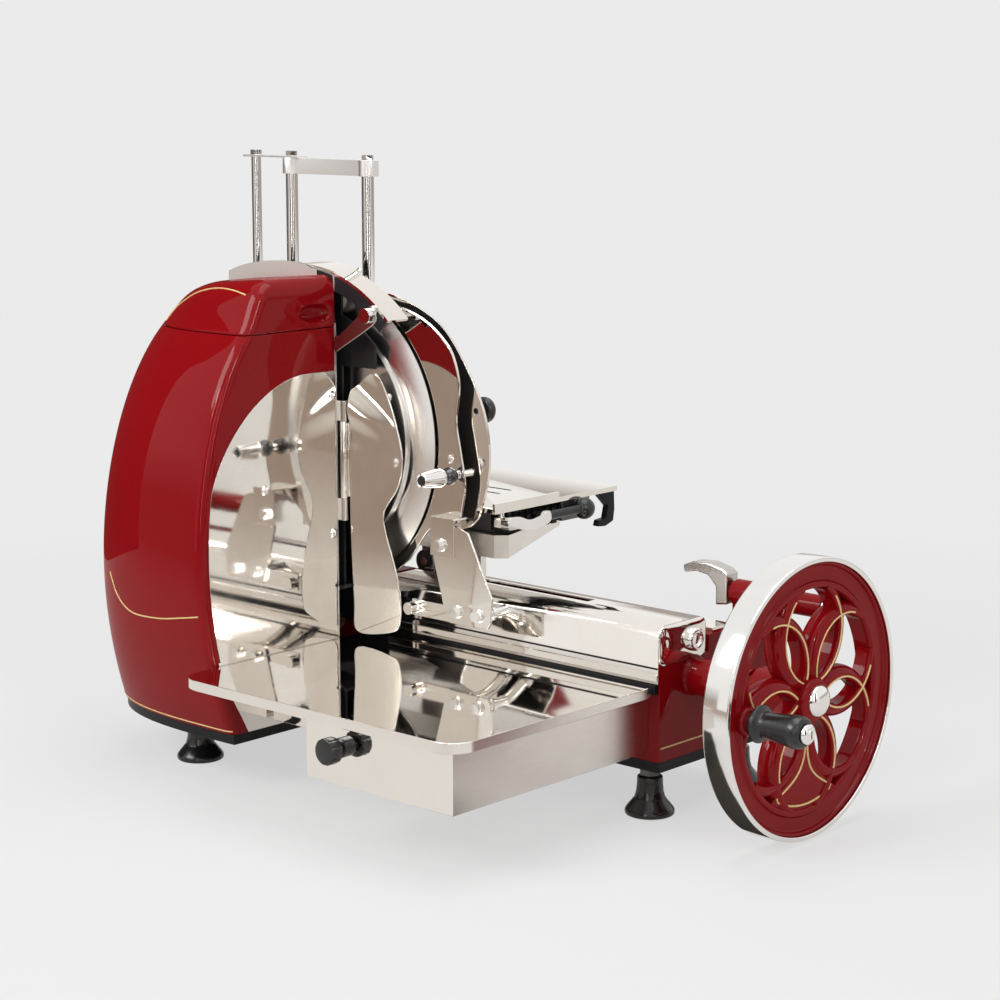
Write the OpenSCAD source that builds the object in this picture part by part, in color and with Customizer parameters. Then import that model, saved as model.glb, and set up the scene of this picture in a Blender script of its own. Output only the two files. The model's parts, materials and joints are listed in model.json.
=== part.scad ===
// Hand-cranked flywheel slicer for cured meat, built as a bench assembly.
// Millimetres. X runs towards the flywheel, Y from the tray towards the meat table, Z up from the table top.
// Shapes are drawn from the blade axis (X, Y) and the table top (Z), then moved so that the box is centred.

/* [Blade] */
// Diameter of the blade
blade_d = 300; // [290:1:306]
// Height of the blade axis above the table top
blade_h = 327; // [324:0.5:330]
// Thickness of the blade behind its bevel
blade_t = 2.5; // [2:0.25:3]
// Radial width of the bright bevel
bevel_w = 21; // [14:1:24]
// Radial gap from the blade's edge to the flange that carries it
flange_gap = 31; // [30:1:36]
// Distance of the flange screws from the flange's edge
flange_screw_in = 14; // [9:0.5:18]
// Number of flange screws
flange_screws = 6; // [3:1:8]
// Radius of the blade shaft
blade_shaft_r = 12; // [9:0.5:14]

/* [Casing] */
// Reach of the casing from the blade axis, away from the flywheel
casing_len = 201; // [194:1:206]
// Depth of the casing from the blade plane at its widest level
casing_depth = 206; // [198:1:214]
// Level of the casing's widest section
casing_wide_z = 230; // [220:1:240]
// Level of the lid's crest
casing_top = 480; // [476:1:482]
// Height of the lid above its seam
lid_h = 41.5; // [38:0.5:46]
// Place of the casing's end face that looks at the flywheel
face_x = 45; // [40:0.5:46]
// Distance from the blade plane to the casing's open back
casing_rear = 28; // [26:0.5:32]
// Distance from the blade plane to the lid's crest
crest_y = 70; // [64:1:76]
// Wall of the casing and of the lid
casing_wall = 4; // [3:0.5:5]

/* [Base] */
// Height of the feet
foot_h = 46; // [42:1:50]
// Radius of a foot pad
foot_r = 23.5; // [20:0.5:26]
// Height of the black plinth
plinth_h = 10; // [9:1:12]
// End face of the base under the flywheel
base_x1 = 405; // [400:1:410]
// Front wall of the rail bed
base_y0 = 32; // [31:0.5:34]
// Back wall of the rail bed
base_y1 = 200; // [194:1:206]
// Top of the rail bed under the rail cover
bed_z = 149; // [148:0.5:152]
// Top of the raised rear part
rear_z = 165; // [163:0.5:168]
// Front of the raised rear part
rear_y = 105; // [103:0.5:108]
// Wall of the castings
cast_wall = 8; // [6:0.5:9]

/* [Flywheel] */
// Diameter of the flywheel over its chrome rim
wheel_d = 258; // [246:1:260]
// Front face of the rim
wheel_x = 542; // [536:1:550]
// Place of the flywheel shaft across the machine
wheel_y = 80; // [79:0.5:82]
// Height of the flywheel shaft
wheel_z = 131; // [130.5:0.5:132]
// Width of the rim
rim_w = 27; // [22:1:30]
// Radial thickness of the chrome rim
rim_t = 4; // [3:0.5:6]
// Radial width of the flat band inside the rim
band_w = 24; // [18:1:26]
// Radius of the hub
hub_r = 21; // [18:0.5:24]
// Width of a petal rib
rib_w = 13; // [10:0.5:14]
// Number of petals
petals = 6; // [5:1:6]
// Radius of the flywheel shaft and of the cross shaft
shaft_r = 9; // [7:0.5:9.5]
// Distance of the crank from the flywheel shaft
crank_r = 97; // [90:1:100]
// Length of the crank grip
grip_l = 50; // [46:1:56]
// Largest radius of the crank grip
grip_r = 15; // [12:0.5:17]

/* [Tray] */
// Level of the tray's top
tray_z = 128; // [126:0.5:130]
// Front edge of the tray
tray_y0 = -237; // [-242:1:-234]
// Back edge of the tray
tray_y1 = 27; // [24:0.5:28]
// Edge of the tray beside the flywheel
tray_x1 = 400; // [396:1:404]
// Depth of the tray's folded rim
tray_rim = 10; // [8:0.5:11]
// Sheet thickness of the tray and the skirt
sheet_t = 1.5; // [1:0.25:2]
// Bottom of the skirt box
skirt_z0 = 64; // [62:1:70]
// Near end of the skirt's front face
skirt_x0 = 213; // [205:1:220]
// Setback of the skirt's recessed panel
skirt_step = 109; // [100:1:116]
// Radius of the tray knob
knob_r = 12; // [10:0.5:14]

/* [Guards] */
// Gap between the blade's edge and the rim guard
rim_gap = 17; // [14:0.5:19]
// Sheet thickness of the guards
guard_t = 2; // [1.5:0.25:2.5]
// Distance from the blade plane to the blade guard
guard_y = 5.5; // [5:0.5:6]
// Distance from the blade plane to the round guard
round_y = 25; // [24:0.5:26]
// Place of the guard bracket in front of the blade plane
bracket_y = -10; // [-12:0.5:-8]

/* [Carriage] */
// Level of the meat table's top
table_z = 269; // [266:0.5:272]
// Thickness of the meat table
table_t = 5; // [4:0.5:6]
// Edge of the meat table beside the flywheel
table_x1 = 203; // [198:1:208]
// Front edge of the meat table
table_y0 = 30; // [29:0.5:32]
// Back edge of the meat table
table_y1 = 215; // [210:1:220]
// Top of the rail cover
cover_z = 185; // [184:0.5:188]
// End of the slot in the rail cover
slot_x1 = 287; // [284:1:300]
// Radius of the guide rod
rod_r = 7; // [6:0.5:8]
// Top of the upright posts
post_z = 596; // [580:1:610]
// Radius of the thick posts
post_r = 6.2; // [5:0.2:7]
// Place of the posts across the machine
post_y = 60; // [56:1:64]

/* [Fits] */
// Radial clearance of a running fit
run_gap = 0.05; // [0.03:0.01:0.08]
// Gap between curved faces that pass each other
pass_gap = 0.4; // [0.3:0.1:0.6]

/* [Hidden] */
$fn = 64;
far = 1000;
steel = [0.80, 0.78, 0.75];
chrome = [0.88, 0.88, 0.88];
red = [0.54, 0.09, 0.11];
black = [0.08, 0.08, 0.09];
bronze = [0.72, 0.52, 0.28];
iron = [0.35, 0.35, 0.37];

blade_r = blade_d / 2;
blade_k = blade_r / 150;
rim_guard_r = blade_r + rim_gap;
plinth_z = foot_h + plinth_h;
seam_z = casing_top - lid_h;
wheel_r = wheel_d / 2;
plinth_x0 = -165;
feet = [[-70, -112], [382, 48], [382, 184], [-70, 184]];

// Cross shaft under the blade, and the chain drive up to it
cross_x = -20;
bevel_r = 30;
bevel_face = 9;
chain_y = -92;
chain_w = 6;
low_sprocket_r = 44;
top_sprocket_r = 22;
bush_r = shaft_r + 5;
bearing_r = blade_shaft_r + 8;
column_y0 = -72;
column_y1 = -34;

// Guard pin, crank and clamp places
pin_at = [176 * blade_k, blade_h - 24 * blade_k];
spacer_at_top = [96 * blade_k, blade_h + 126 * blade_k];
flange_r = blade_r - flange_gap;
flange_screw_r = flange_r - flange_screw_in;
spacer_pin_r = 5;
hinge_x = face_x + 5;
hinge_y = -22;
hinge_r = 3.5;
hinge_pin_r = 1.5;
deflector_y = -19;
deflector_turn = 7;
grip_x0 = wheel_x + 9;
nut_l = 6;
knob_l = 24;
skirt_in = 6;
skirt_y0 = tray_y0 + skirt_in;
skirt_x1 = tray_x1 - skirt_in - 2;
cover_x0 = 60;
cover_y0 = 29;
cover_y1 = 99;
cover_t = 2;
rod_y = 75;
rod_z = bed_z + 18;
lug_x = 135;
lug_t = 8;
carriage_z = 215;
carriage_t = 23;
roller_r = 12;
rail_t = 4;
post_x = [-161, -107, 4];
clamp_z = 300;
arm_y = 180;
arm_z = rear_z + 25;
arm_r = 11;
lever_shaft_r = 5;

// Middle of the whole box, so that the origin lies under it
x_low = -casing_len;
x_high = grip_x0 + grip_l + nut_l;
y_low = skirt_y0 - knob_l;
y_high = table_y1;
mid = [-(x_low + x_high) / 2, -(y_low + y_high) / 2, 0];

module place() translate(mid) children();

// A round bar along X or Y between two ends
module bar_x(r, x0, x1) translate([x0, 0, 0]) rotate([0, 90, 0]) cylinder(r = r, h = x1 - x0);
module bar_y(r, y0, y1) translate([0, y1, 0]) rotate([90, 0, 0]) cylinder(r = r, h = y1 - y0);
// A box between two corners
module box(low, high) translate(low) cube(high - low);
// A flat outline in X and Z, between two places in Y
module slab_y(y0, y1) translate([0, y1, 0]) rotate([90, 0, 0]) linear_extrude(y1 - y0) children();
// A flat outline in Y and Z, between two places in X
module slab_x(x0, x1) translate([x0, 0, 0]) rotate([90, 0, 90]) linear_extrude(x1 - x0) children();
// A profile of radius and Y, turned about the blade axis from one angle over a sweep
module turned(start, sweep) translate([0, 0, blade_h]) rotate([90, 0, 0]) rotate([0, 0, start])
    rotate_extrude(angle = sweep, $fn = 128) children();
module at_blade() translate([0, 0, blade_h]) children();
module at_wheel() translate([0, wheel_y, wheel_z]) children();
module at_cross() translate([cross_x, 0, wheel_z]) children();

// A smooth closed outline through a few points
function knot(p, i) = p[(i + len(p)) % len(p)];
function bend(a, b, c, d, t) =
    b + 0.5 * t * (c - a + t * (2 * a - 5 * b + 4 * c - d + t * (3 * b - a - 3 * c + d)));
function smooth(p, n = 6) = [for (i = [0 : len(p) - 1], k = [0 : n - 1])
    bend(knot(p, i - 1), knot(p, i), knot(p, i + 1), knot(p, i + 2), k / n)];
// The same for a line with two ends
function sweep(p, n = 6) = [for (i = [0 : len(p) - 2], k = [0 : n - 1])
    bend(p[max(i - 1, 0)], p[i], p[i + 1], p[min(i + 2, len(p) - 1)], k / n)];

// The egg-shaped casing: its front depth, its open back and its length at a level
function rise(z) = (z - casing_wide_z) / (casing_top - casing_wide_z);
function drop(z) = (casing_wide_z - z) / (casing_wide_z - plinth_z);
function front_y(z) = z > casing_wide_z
    ? crest_y + (casing_depth - crest_y) * pow(1 - pow(rise(z), 1.9), 0.48)
    : casing_depth * (1 - 0.18 * pow(drop(z), 2));
round_z = 62;
function back_y(z) = z > casing_top - round_z
    ? casing_rear + (crest_y - casing_rear) * (1 - sqrt(1 - pow((z - casing_top + round_z) / round_z, 2)))
    : casing_rear;
function reach_x(z) = casing_len * pow(1 - pow(0.995 * max(0, z - plinth_z) / (casing_top - plinth_z),
    1.62), 0.222);
corner_power = 0.741;
function ring(z, in, back_in) = [for (k = [0 : 40]) let (q = 180 * k / 40)
    [(reach_x(z) - in) * sign(cos(q)) * pow(abs(cos(q)), corner_power),
     -(back_y(z) + back_in) - (front_y(z) - in - back_y(z) - back_in) * pow(abs(sin(q)), corner_power), z]];
// A closed solid through the casing's rings, finer towards the top
module egg(z0, z1, in = 0, back_in = 0, steps = 16) {
    m = 41;
    levels = [for (k = [0 : steps]) z0 + (z1 - z0) * sin(90 * k / steps)];
    points = [for (z = levels) each ring(z, in, back_in)];
    sides = [for (k = [0 : steps - 1], i = [0 : m - 1]) let (j = (i + 1) % m)
        each [[k * m + i, (k + 1) * m + j, (k + 1) * m + i], [k * m + i, k * m + j, (k + 1) * m + j]]];
    floor_face = [for (i = [m - 1 : -1 : 0]) i];
    roof_face = [for (i = [0 : m - 1]) steps * m + i];
    polyhedron(points, concat(sides, [floor_face, roof_face]), convexity = 4);
}
module face_cut(in = 0) box([face_x - in, -far, -far], [far, far, far]);
lid_top = casing_top - 1;

module feet_at() for (f = feet) translate([f[0], f[1], 0]) children();
stud_r = 6;
stud_seat = 14;
pad_h = 37;
module foot_pads() color(black) feet_at() difference() {
    rotate_extrude() polygon([[0, 0], [foot_r - 1, 0], [foot_r, 1.5], [foot_r, 5], [foot_r - 4, 10],
        [foot_r - 9, 16], [stud_r + 7, 22], [stud_r + 6, pad_h], [0, pad_h]]);
    translate([0, 0, stud_seat]) cylinder(r = stud_r + run_gap, h = pad_h);
}
module foot_studs() color(iron) feet_at() {
    translate([0, 0, stud_seat]) cylinder(r = stud_r, h = foot_h - stud_seat + plinth_h / 2);
    translate([0, 0, foot_h - 8]) cylinder(r = stud_r + 4, h = 8, $fn = 6);
}

plinth_in = 2;
pocket_h = plinth_h - 6;
module plinth() color(black) difference() {
    union() {
        translate([0, 0, foot_h]) linear_extrude(plinth_h) intersection() {
            polygon([for (p = ring(plinth_z, plinth_in, 0)) [p[0], p[1]]]);
            translate([-far, -far]) square([far + face_x - plinth_in, 2 * far]);
        }
        box([plinth_x0, -casing_rear - 8, foot_h], [face_x - plinth_in - 1, base_y0 + 8, plinth_z]);
        box([plinth_x0, base_y0, foot_h], [base_x1, base_y1, plinth_z]);
    }
    difference() {
        union() {
            box([-140, -140, foot_h - 1], [30, base_y0 - 10, foot_h + pocket_h]);
            box([plinth_x0 + 12, base_y0 + 10, foot_h - 1], [base_x1 - 12, base_y1 - 12, foot_h + pocket_h]);
        }
        feet_at() cylinder(r = stud_r + 10, h = far);
    }
    feet_at() translate([0, 0, foot_h - 1]) cylinder(r = stud_r + run_gap, h = plinth_h / 2 + 1);
}

rib_x = 60;
gear_top = wheel_z + bevel_r + 4;
gear_case = [[cross_x - 42, base_y0 + 4], [cross_x + 48, rear_y + 10]];
hump_wall = 3.5;
rear_y1 = rear_y + 45;
rod_block = 10;
rod_x0 = gear_case[1][0] + 2;
rod_x1 = base_x1 - cover_t - 4;
module base_casting() color(red) difference() {
    union() {
        for (x = [rod_x0, rod_x1 - rod_block])
            box([x, rod_y - 13, bed_z - 1], [x + rod_block, rod_y + 13, cover_z - 4]);
        box([plinth_x0, base_y0, plinth_z], [base_x1, base_y1, bed_z]);
        box([plinth_x0, rear_y, bed_z - 1], [base_x1, rear_y1, rear_z]);
        box([gear_case[0][0], gear_case[0][1], bed_z], [gear_case[1][0], gear_case[1][1],
            gear_top + cast_wall]);
    }
    difference() {
        union() {
            box([plinth_x0 + cast_wall, base_y0 + cast_wall, plinth_z - 1],
                [base_x1 - cast_wall, base_y1 - cast_wall, bed_z - 5]);
            box([plinth_x0 + cast_wall, rear_y + cast_wall, plinth_z],
                [base_x1 - cast_wall, rear_y1 - cast_wall, rear_z - cast_wall]);
            box([gear_case[0][0] + cast_wall, gear_case[0][1] + cast_wall, plinth_z],
                [gear_case[1][0] - cast_wall, gear_case[1][1] - hump_wall, gear_top]);
        }
        box([rib_x - 5, 0, 0], [rib_x + 5, base_y1, bed_z]);
    }
    at_wheel() bar_x(bush_r, rib_x - 6, base_x1 + 1);
    at_cross() bar_y(bush_r, base_y0 - 1, base_y0 + cast_wall + 1);
    translate([0, rod_y, rod_z]) bar_x(rod_r + run_gap, rod_x0 - 1, rod_x1 + 1);
}

module casing_shell() color(red) difference() {
    egg(plinth_z, seam_z);
    difference() {
        egg(plinth_z - 1, seam_z + 1, casing_wall, -2);
        face_cut(casing_wall);
    }
    face_cut();
}

recess = [-53, seam_z + 13];
module lid() color(red) difference() {
    egg(seam_z, lid_top, steps = 12);
    difference() {
        egg(seam_z - 1, lid_top - casing_wall, casing_wall, casing_wall, steps = 10);
        face_cut(casing_wall);
    }
    face_cut();
    for (s = [-12, 12]) translate([0, recess[0] + s, recess[1]]) bar_x(8, face_x - 2, far);
    box([face_x - 2, recess[0] - 12, recess[1] - 8], [far, recess[0] + 12, recess[1] + 8]);
}

plate_top = blade_h + 69;
border = 10;
shoulder = [casing_depth - border - crest_y, 130];
shoulder_power = 1.75;
function plate_y(z) = let (h = (z - plate_top + shoulder[1]) / shoulder[1])
    -min(front_y(z) - border, h > 0 ? crest_y + shoulder[0] * pow(1 - pow(min(h, 1), shoulder_power),
        1 / shoulder_power) : far);
plate_screw_at = [[-34, blade_h + 45], [-124, blade_h - 38], [-34, blade_h - 92]];
module splash_plate() color(steel) difference() {
    slab_x(face_x, face_x + sheet_t) polygon(concat(
        [for (k = [0 : 36]) let (z = tray_z + 1 + (plate_top - tray_z - 1) * sin(2.5 * k)) [plate_y(z), z]],
        [[-casing_rear - 1, plate_top], [-casing_rear - 1, tray_z + 1]]));
    for (s = plate_screw_at) translate([0, s[0], s[1]]) bar_x(2 + run_gap, face_x - 1, far);
}
module dome_screws() color(chrome) {
    for (s = plate_screw_at) translate([face_x + sheet_t, s[0], s[1]])
    rotate([0, 90, 0]) {
        intersection() {
            translate([0, 0, -3.5]) sphere(r = 6.1);
            cylinder(r = 5, h = 9);
        }
        translate([0, 0, -sheet_t]) cylinder(r = 2, h = sheet_t);
    }
    translate([base_x1, rod_y + 5, bed_z + 12]) rotate([0, 90, 0])
        rotate_extrude() polygon([[0, 0], [9, 0], [9, 2], [7.5, 2.6], [6, 3.6], [0, 4.2]]);
}

plate_t = 3;
back_y1 = -casing_rear + plate_t;
guard_from = 46;
cap_from = 75;
cap_to = 110;
module sector(r0, r1, from, to) polygon(concat(
    [for (k = [0 : 20]) let (q = from + (to - from) * k / 20) r1 * [cos(q), sin(q)]],
    [for (k = [20 : -1 : 0]) let (q = from + (to - from) * k / 20) r0 * [cos(q), sin(q)]]));
back_in = 1;
seat_gap = 0.05;
stone_x = [-30, 26];
stone_z = blade_h + blade_r - 14;
spindle_r = 4;
shroud_in = blade_r + 4;
shroud_t = 3;
shroud_sweep = 215;
cover_disc_y = -14;
// Outline of the plate's lip that shows above the lid, from the blade axis
lip_edge = [[-108, 105], [-108, 158], [-91, 164], [-73, 168], [-55, 170.5], [-31, 172], [-7, 172], [4,
    169.5],
    [20, 164], [32, 151], [40, 136], [44, 112], [44, 105]];
module back_plate() color(black) difference() {
    union() {
        slab_y(-casing_rear, back_y1) {
            polygon(concat(
                [for (k = [0 : 30]) let (z = plinth_z + (seam_z - plinth_z) * k / 30)
                    [back_in - reach_x(z), z]],
                [[face_x - back_in, seam_z], [face_x - back_in, plinth_z]]));
            translate([0, blade_h]) {
                sector(blade_r + 3, rim_guard_r - seat_gap, guard_from, cap_from);
                sector(90, rim_guard_r - seat_gap, cap_from - 1, cap_to);
                polygon(blade_k * lip_edge);
            }
        }
        turned(cap_from, shroud_sweep) translate([shroud_in, -2]) square([shroud_t, 3 - back_y1]);
        slab_y(cover_disc_y, cover_disc_y + plate_t) translate([0, blade_h]) {
            intersection() {
                circle(r = shroud_in + 1);
                translate([-far, -far]) square([far + face_x - 5, 2 * far]);
            }
            intersection() {
                circle(r = blade_r - 22);
                translate([0, 72]) square([86, 58]);
            }
        }
    }
    at_blade() bar_y(blade_shaft_r + 6, -far, far);
    at_cross() bar_y(shaft_r + 3, -far, far);
    translate([spacer_at_top[0], 0, spacer_at_top[1]]) bar_y(spacer_pin_r + run_gap, -far, far);
    for (x = stone_x) translate([x, 0, stone_z]) bar_y(spindle_r + run_gap, -far, far);
}
stone_r = 12;
module sharpening_stones() color(iron) for (x = stone_x) translate([x, 0, stone_z]) {
    bar_y(spindle_r, -casing_rear, -9);
    bar_y(stone_r, cover_disc_y + plate_t + 0.5, -4);
}
cap_t = 3;
cap_y1 = 13;
module rim_guard() color(steel) difference() {
    turned(guard_from, cap_to - guard_from)
        translate([rim_guard_r, -cap_y1]) square([cap_t, cap_y1 + casing_rear]);
    box([rim_guard_r * cos(cap_from), 0, blade_h], [far, far, far]);
    box([-far, -far, blade_h], [rim_guard_r * cos(cap_from), back_y1, far]);
}

arm_t = 3;
module guard_arm() color(steel) difference() {
    slab_y(-casing_rear - arm_t, -casing_rear) polygon(smooth([[face_x + 3, blade_h + 88], [face_x + 14,
        blade_h + 93],
        spacer_at_top + [4, -9], spacer_at_top + [9, 0], spacer_at_top + [0, 9], [face_x + 12,
            blade_h + 106],
        [face_x + 3, blade_h + 102]]));
    translate([spacer_at_top[0], 0, spacer_at_top[1]]) bar_y(spacer_pin_r + run_gap, -far, far);
}
// Outlines of the guards, from the blade axis
guard_edge = [[58, 138], [84, 133], [112, 129], [138, 119], [158, 105], [171, 90], [179, 62], [175, 28],
    [180, 0], [186, -32], [182, -58], [177, -72]];
guard_inner = blade_r - 30;
tab_x = blade_k * [157, 188];
tab_z = [blade_h - 66 * blade_k - 36, blade_h - 66 * blade_k];
tab_bolt = [170 * blade_k, tab_z[1] - 25];
standoffs = blade_k * [[150, 78], [163, -50], [92, 116]];
module blade_guard() color(steel) difference() {
    union() {
        slab_y(guard_y, guard_y + guard_t) translate([0, blade_h]) difference() {
            polygon(concat(blade_k * sweep(guard_edge, 4), blade_k * [[177, -72], [152, -72], [135, -86],
                [112, -116], [90, -132], [78, -124]],
                [for (q = [-58 : 6 : 68]) guard_inner * [cos(q), sin(q)]]));
        }
        box([tab_x[0], bracket_y - guard_t, tab_z[1]], [tab_x[1], guard_y + guard_t, tab_z[1] + guard_t]);
        box([tab_x[0], bracket_y - guard_t, tab_z[0]], [tab_x[1], bracket_y, tab_z[1] + 1]);
    }
    translate([pin_at[0], 0, pin_at[1]]) bar_y(4 + run_gap, -far, far);
    translate([tab_bolt[0], 0, tab_bolt[1]]) bar_y(3 + run_gap, -far, 0);
}
round_edge = [[60, 140], [88, 137], [136, 116], [169, 79], [192, 38], [200, 0], [198, -30], [191, -54],
    [182, -72]];
module round_guard() color(steel) difference() {
    slab_y(round_y, round_y + 3) translate([0, blade_h]) polygon(smooth(blade_k * concat(round_edge,
        [[160, -80], [120, -60], [112, 0], [96, 70], [62, 112]]), 5));
    translate([pin_at[0], 0, pin_at[1]]) bar_y(4 + run_gap, -far, far);
    translate([guard_knob_at[0], 0, guard_knob_at[1]]) bar_y(3 + run_gap, -far, far);
}
guard_knob_at = [183 * blade_k, blade_h + 36 * blade_k];
module guard_knob() color(black) translate([guard_knob_at[0], round_y, guard_knob_at[1]]) rotate([-90,
    0, 0]) {
    translate([0, 0, 3]) rotate_extrude()
        polygon([[0, 0], [5, 0], [5, 4], [12, 5], [13, 9], [12, 13], [8, 16], [0, 17]]);
    cylinder(r = 3, h = 4);
}
pin_end = round_y + 2;
module guard_pin() color(chrome) translate([pin_at[0], 0, pin_at[1]]) {
    bar_y(4, -20, pin_end);
    translate([0, -44, 0]) rotate([-90, 0, 0]) rotate_extrude() polygon([[0, 0], [6.5, 0], [7, 1], [9.5, 24],
        [8.5, 28], [5, 30], [5, 32], [8, 35], [8.8, 39], [8, 43], [5, 46], [5, 47], [0, 47]]);
}

bracket_t = 2.5;
spacer_at = [[189, bed_z + 24], [217, bed_z + 24]];
module guard_bracket() color(steel) difference() {
    slab_y(bracket_y, bracket_y + bracket_t) polygon([tab_bolt + [-11, -14], tab_bolt + [-8, 6],
        tab_bolt + [0, 15], tab_bolt + [22, 20], tab_bolt + [34, 16], [235, bed_z + 43], [233, bed_z + 18],
        [229, bed_z + 13], [180, bed_z + 12], [175, bed_z + 18], [168, bed_z + 43]]);
    for (s = spacer_at) translate([s[0], 0, s[1]]) bar_y(3 + run_gap, -far, far);
    translate([tab_bolt[0], 0, tab_bolt[1]]) bar_y(3 + run_gap, -far, far);
}
module bolt(y0, y1) {
    bar_y(6.5, y0 - 1.5, y0);
    translate([0, y0 - 1.5, 0]) rotate([90, 0, 0]) cylinder(r = 5.5, h = 4, $fn = 6);
    bar_y(3, y0, y1);
}
module bracket_bolts() color(chrome) {
    for (s = spacer_at) translate([s[0], 0, s[1]]) bolt(bracket_y, cover_y0 + cover_t);
    translate([tab_bolt[0], 0, tab_bolt[1]]) bolt(bracket_y - guard_t, bracket_y + bracket_t);
}
module guard_spacers() color(chrome) {
    for (p = spacer_at) translate([p[0], 0, p[1]]) difference() {
        union() {
            bar_y(5.5, bracket_y + bracket_t, cover_y0);
            bar_y(7.5, bracket_y + bracket_t + 14, bracket_y + bracket_t + 18);
        }
        bar_y(3 + run_gap, -far, far);
    }
    for (p = standoffs) translate([p[0], 0, blade_h + p[1]]) bar_y(5, guard_y + guard_t, round_y);
    translate([spacer_at_top[0], 0, spacer_at_top[1]]) {
        bar_y(spacer_pin_r, -casing_rear - arm_t, guard_y);
        bar_y(spacer_pin_r + 2.5, -casing_rear - arm_t - 7, -casing_rear - arm_t);
    }
}

blade_y1 = 3;
blade_y0 = -2;
pilot_r = 60;
module blade() color(chrome) difference() {
    turned(0, 360) polygon([[pilot_r + run_gap, -blade_y0], [blade_r - bevel_w - 8, -blade_y0],
        [blade_r - bevel_w, -blade_y0 - 1], [blade_r, -blade_y1 + 0.4], [blade_r, -blade_y1],
        [blade_r - 10, -blade_y1], [blade_r - 22, -blade_y0 - blade_t], [pilot_r + run_gap,
            -blade_y0 - blade_t]]);
    flange_screw_places() bar_y(2.5 + run_gap, -far, far);
}
module flange_screw_places() for (k = [0 : flange_screws - 1]) at_blade()
    rotate([0, -25 - 360 * k / flange_screws, 0]) translate([flange_screw_r, 0, 0]) children();
flange_y0 = -6;
module blade_flange() color(steel) difference() {
    at_blade() {
        bar_y(flange_r, flange_y0, blade_y0);
        bar_y(pilot_r, blade_y0, blade_y0 + blade_t);
        bar_y(blade_shaft_r + 5, -casing_rear + 8, flange_y0);
    }
    at_blade() bar_y(blade_shaft_r + run_gap, -far, blade_y0);
    flange_screw_places() bar_y(2.5 + run_gap, -far, far);
}
module blade_screws() color(chrome) flange_screw_places() {
    bar_y(2.5, flange_y0, blade_y0 + blade_t);
    translate([0, flange_y0, 0]) rotate([90, 0, 0])
        rotate_extrude() polygon([[0, 0], [5, 0], [4.6, 1.6], [3, 2.6], [0, 3]]);
}
module blade_shaft() color(chrome) at_blade() bar_y(blade_shaft_r, chain_y - chain_w - 4, blade_y0);
module sprocket(r, teeth) difference() {
    bar_y(r, chain_y - chain_w + 1, chain_y - 1);
    for (k = [0 : teeth - 1]) rotate([0, 360 * k / teeth, 0]) translate([r + 0.5, 0, 0]) bar_y(2.4,
        -far, far);
}
module top_sprocket() color(iron) at_blade() difference() {
    sprocket(top_sprocket_r, 16);
    bar_y(blade_shaft_r + run_gap, -far, far);
}
module main_column() color(iron) difference() {
    union() {
        at_blade() bar_y(bearing_r + 12, column_y0, column_y1);
        box([-45, column_y0 + 6, plinth_z], [28, column_y1, blade_h]);
        box([-45, column_y1 - 1, blade_h - 70], [28, -casing_rear, blade_h - 40]);
    }
    at_blade() bar_y(bearing_r, -far, far);
    at_cross() bar_y(bush_r, -far, far);
}
module drive_chain() color(iron) translate([0, chain_y, 0]) rotate([90, 0, 0]) linear_extrude(chain_w)
    difference() {
        loop(4);
        loop(pass_gap);
    }
module loop(extra) hull() {
    translate([cross_x, wheel_z]) circle(r = low_sprocket_r + extra);
    translate([0, blade_h]) circle(r = top_sprocket_r + extra);
}

module cross_shaft() color(chrome) at_cross() bar_y(shaft_r, chain_y - chain_w - 4,
    wheel_y - bevel_r + bevel_face + 12);
// A bevel gear whose teeth stay inside the shared pitch cone, apex at the origin, facing +Z
module bevel_gear() difference() {
    rotate_extrude() polygon([[0, bevel_r - bevel_face], [bevel_r - bevel_face - pass_gap,
        bevel_r - bevel_face],
        [bevel_r - pass_gap, bevel_r], [bevel_r - 4, bevel_r + 4], [0, bevel_r + 4]]);
    for (k = [0 : 19]) rotate([0, 0, 18 * k]) translate([bevel_r, 0, bevel_r]) rotate([0, 45, 0])
        cube([3, 2.4, 3 * bevel_face], center = true);
}
module cross_bevel() color(bronze) at_cross() difference() {
    translate([0, wheel_y, 0]) rotate([90, 0, 0]) bevel_gear();
    bar_y(shaft_r + run_gap, -far, far);
}
module low_sprocket() color(iron) at_cross() difference() {
    sprocket(low_sprocket_r, 32);
    bar_y(shaft_r + run_gap, -far, far);
}
module bushes() color(bronze) {
    at_blade() for (y = [column_y0, column_y1 - 12]) difference() {
        bar_y(bearing_r, y, y + 12);
        bar_y(blade_shaft_r + run_gap, -far, far);
    }
    at_cross() for (y = [[base_y0, base_y0 + cast_wall], [column_y0 + 6, column_y1]]) difference() {
        bar_y(bush_r, y[0], y[1]);
        bar_y(shaft_r + run_gap, -far, far);
    }
    at_wheel() for (x = [[rib_x - 5, rib_x + 5], [base_x1 - cast_wall, base_x1], [housing_x1 - 30,
        housing_x1]])
        difference() {
            bar_x(bush_r, x[0], x[1]);
            bar_x(shaft_r + run_gap, -far, far);
        }
}
housing_x1 = wheel_x - 66;
module shaft_housing() color(red) at_wheel() difference() {
    translate([base_x1, 0, 0]) rotate([0, 90, 0]) rotate_extrude() polygon([[0, 0], [bush_r + 5, 0],
        [bush_r + 5, 4], [bush_r + 3.6, 7],
        [bush_r + 3, housing_x1 - base_x1], [0, housing_x1 - base_x1]]);
    bar_x(bush_r, -far, far);
    translate([base_x1 + 40, 0, 0]) cylinder(r = 2, h = far);
}

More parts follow.
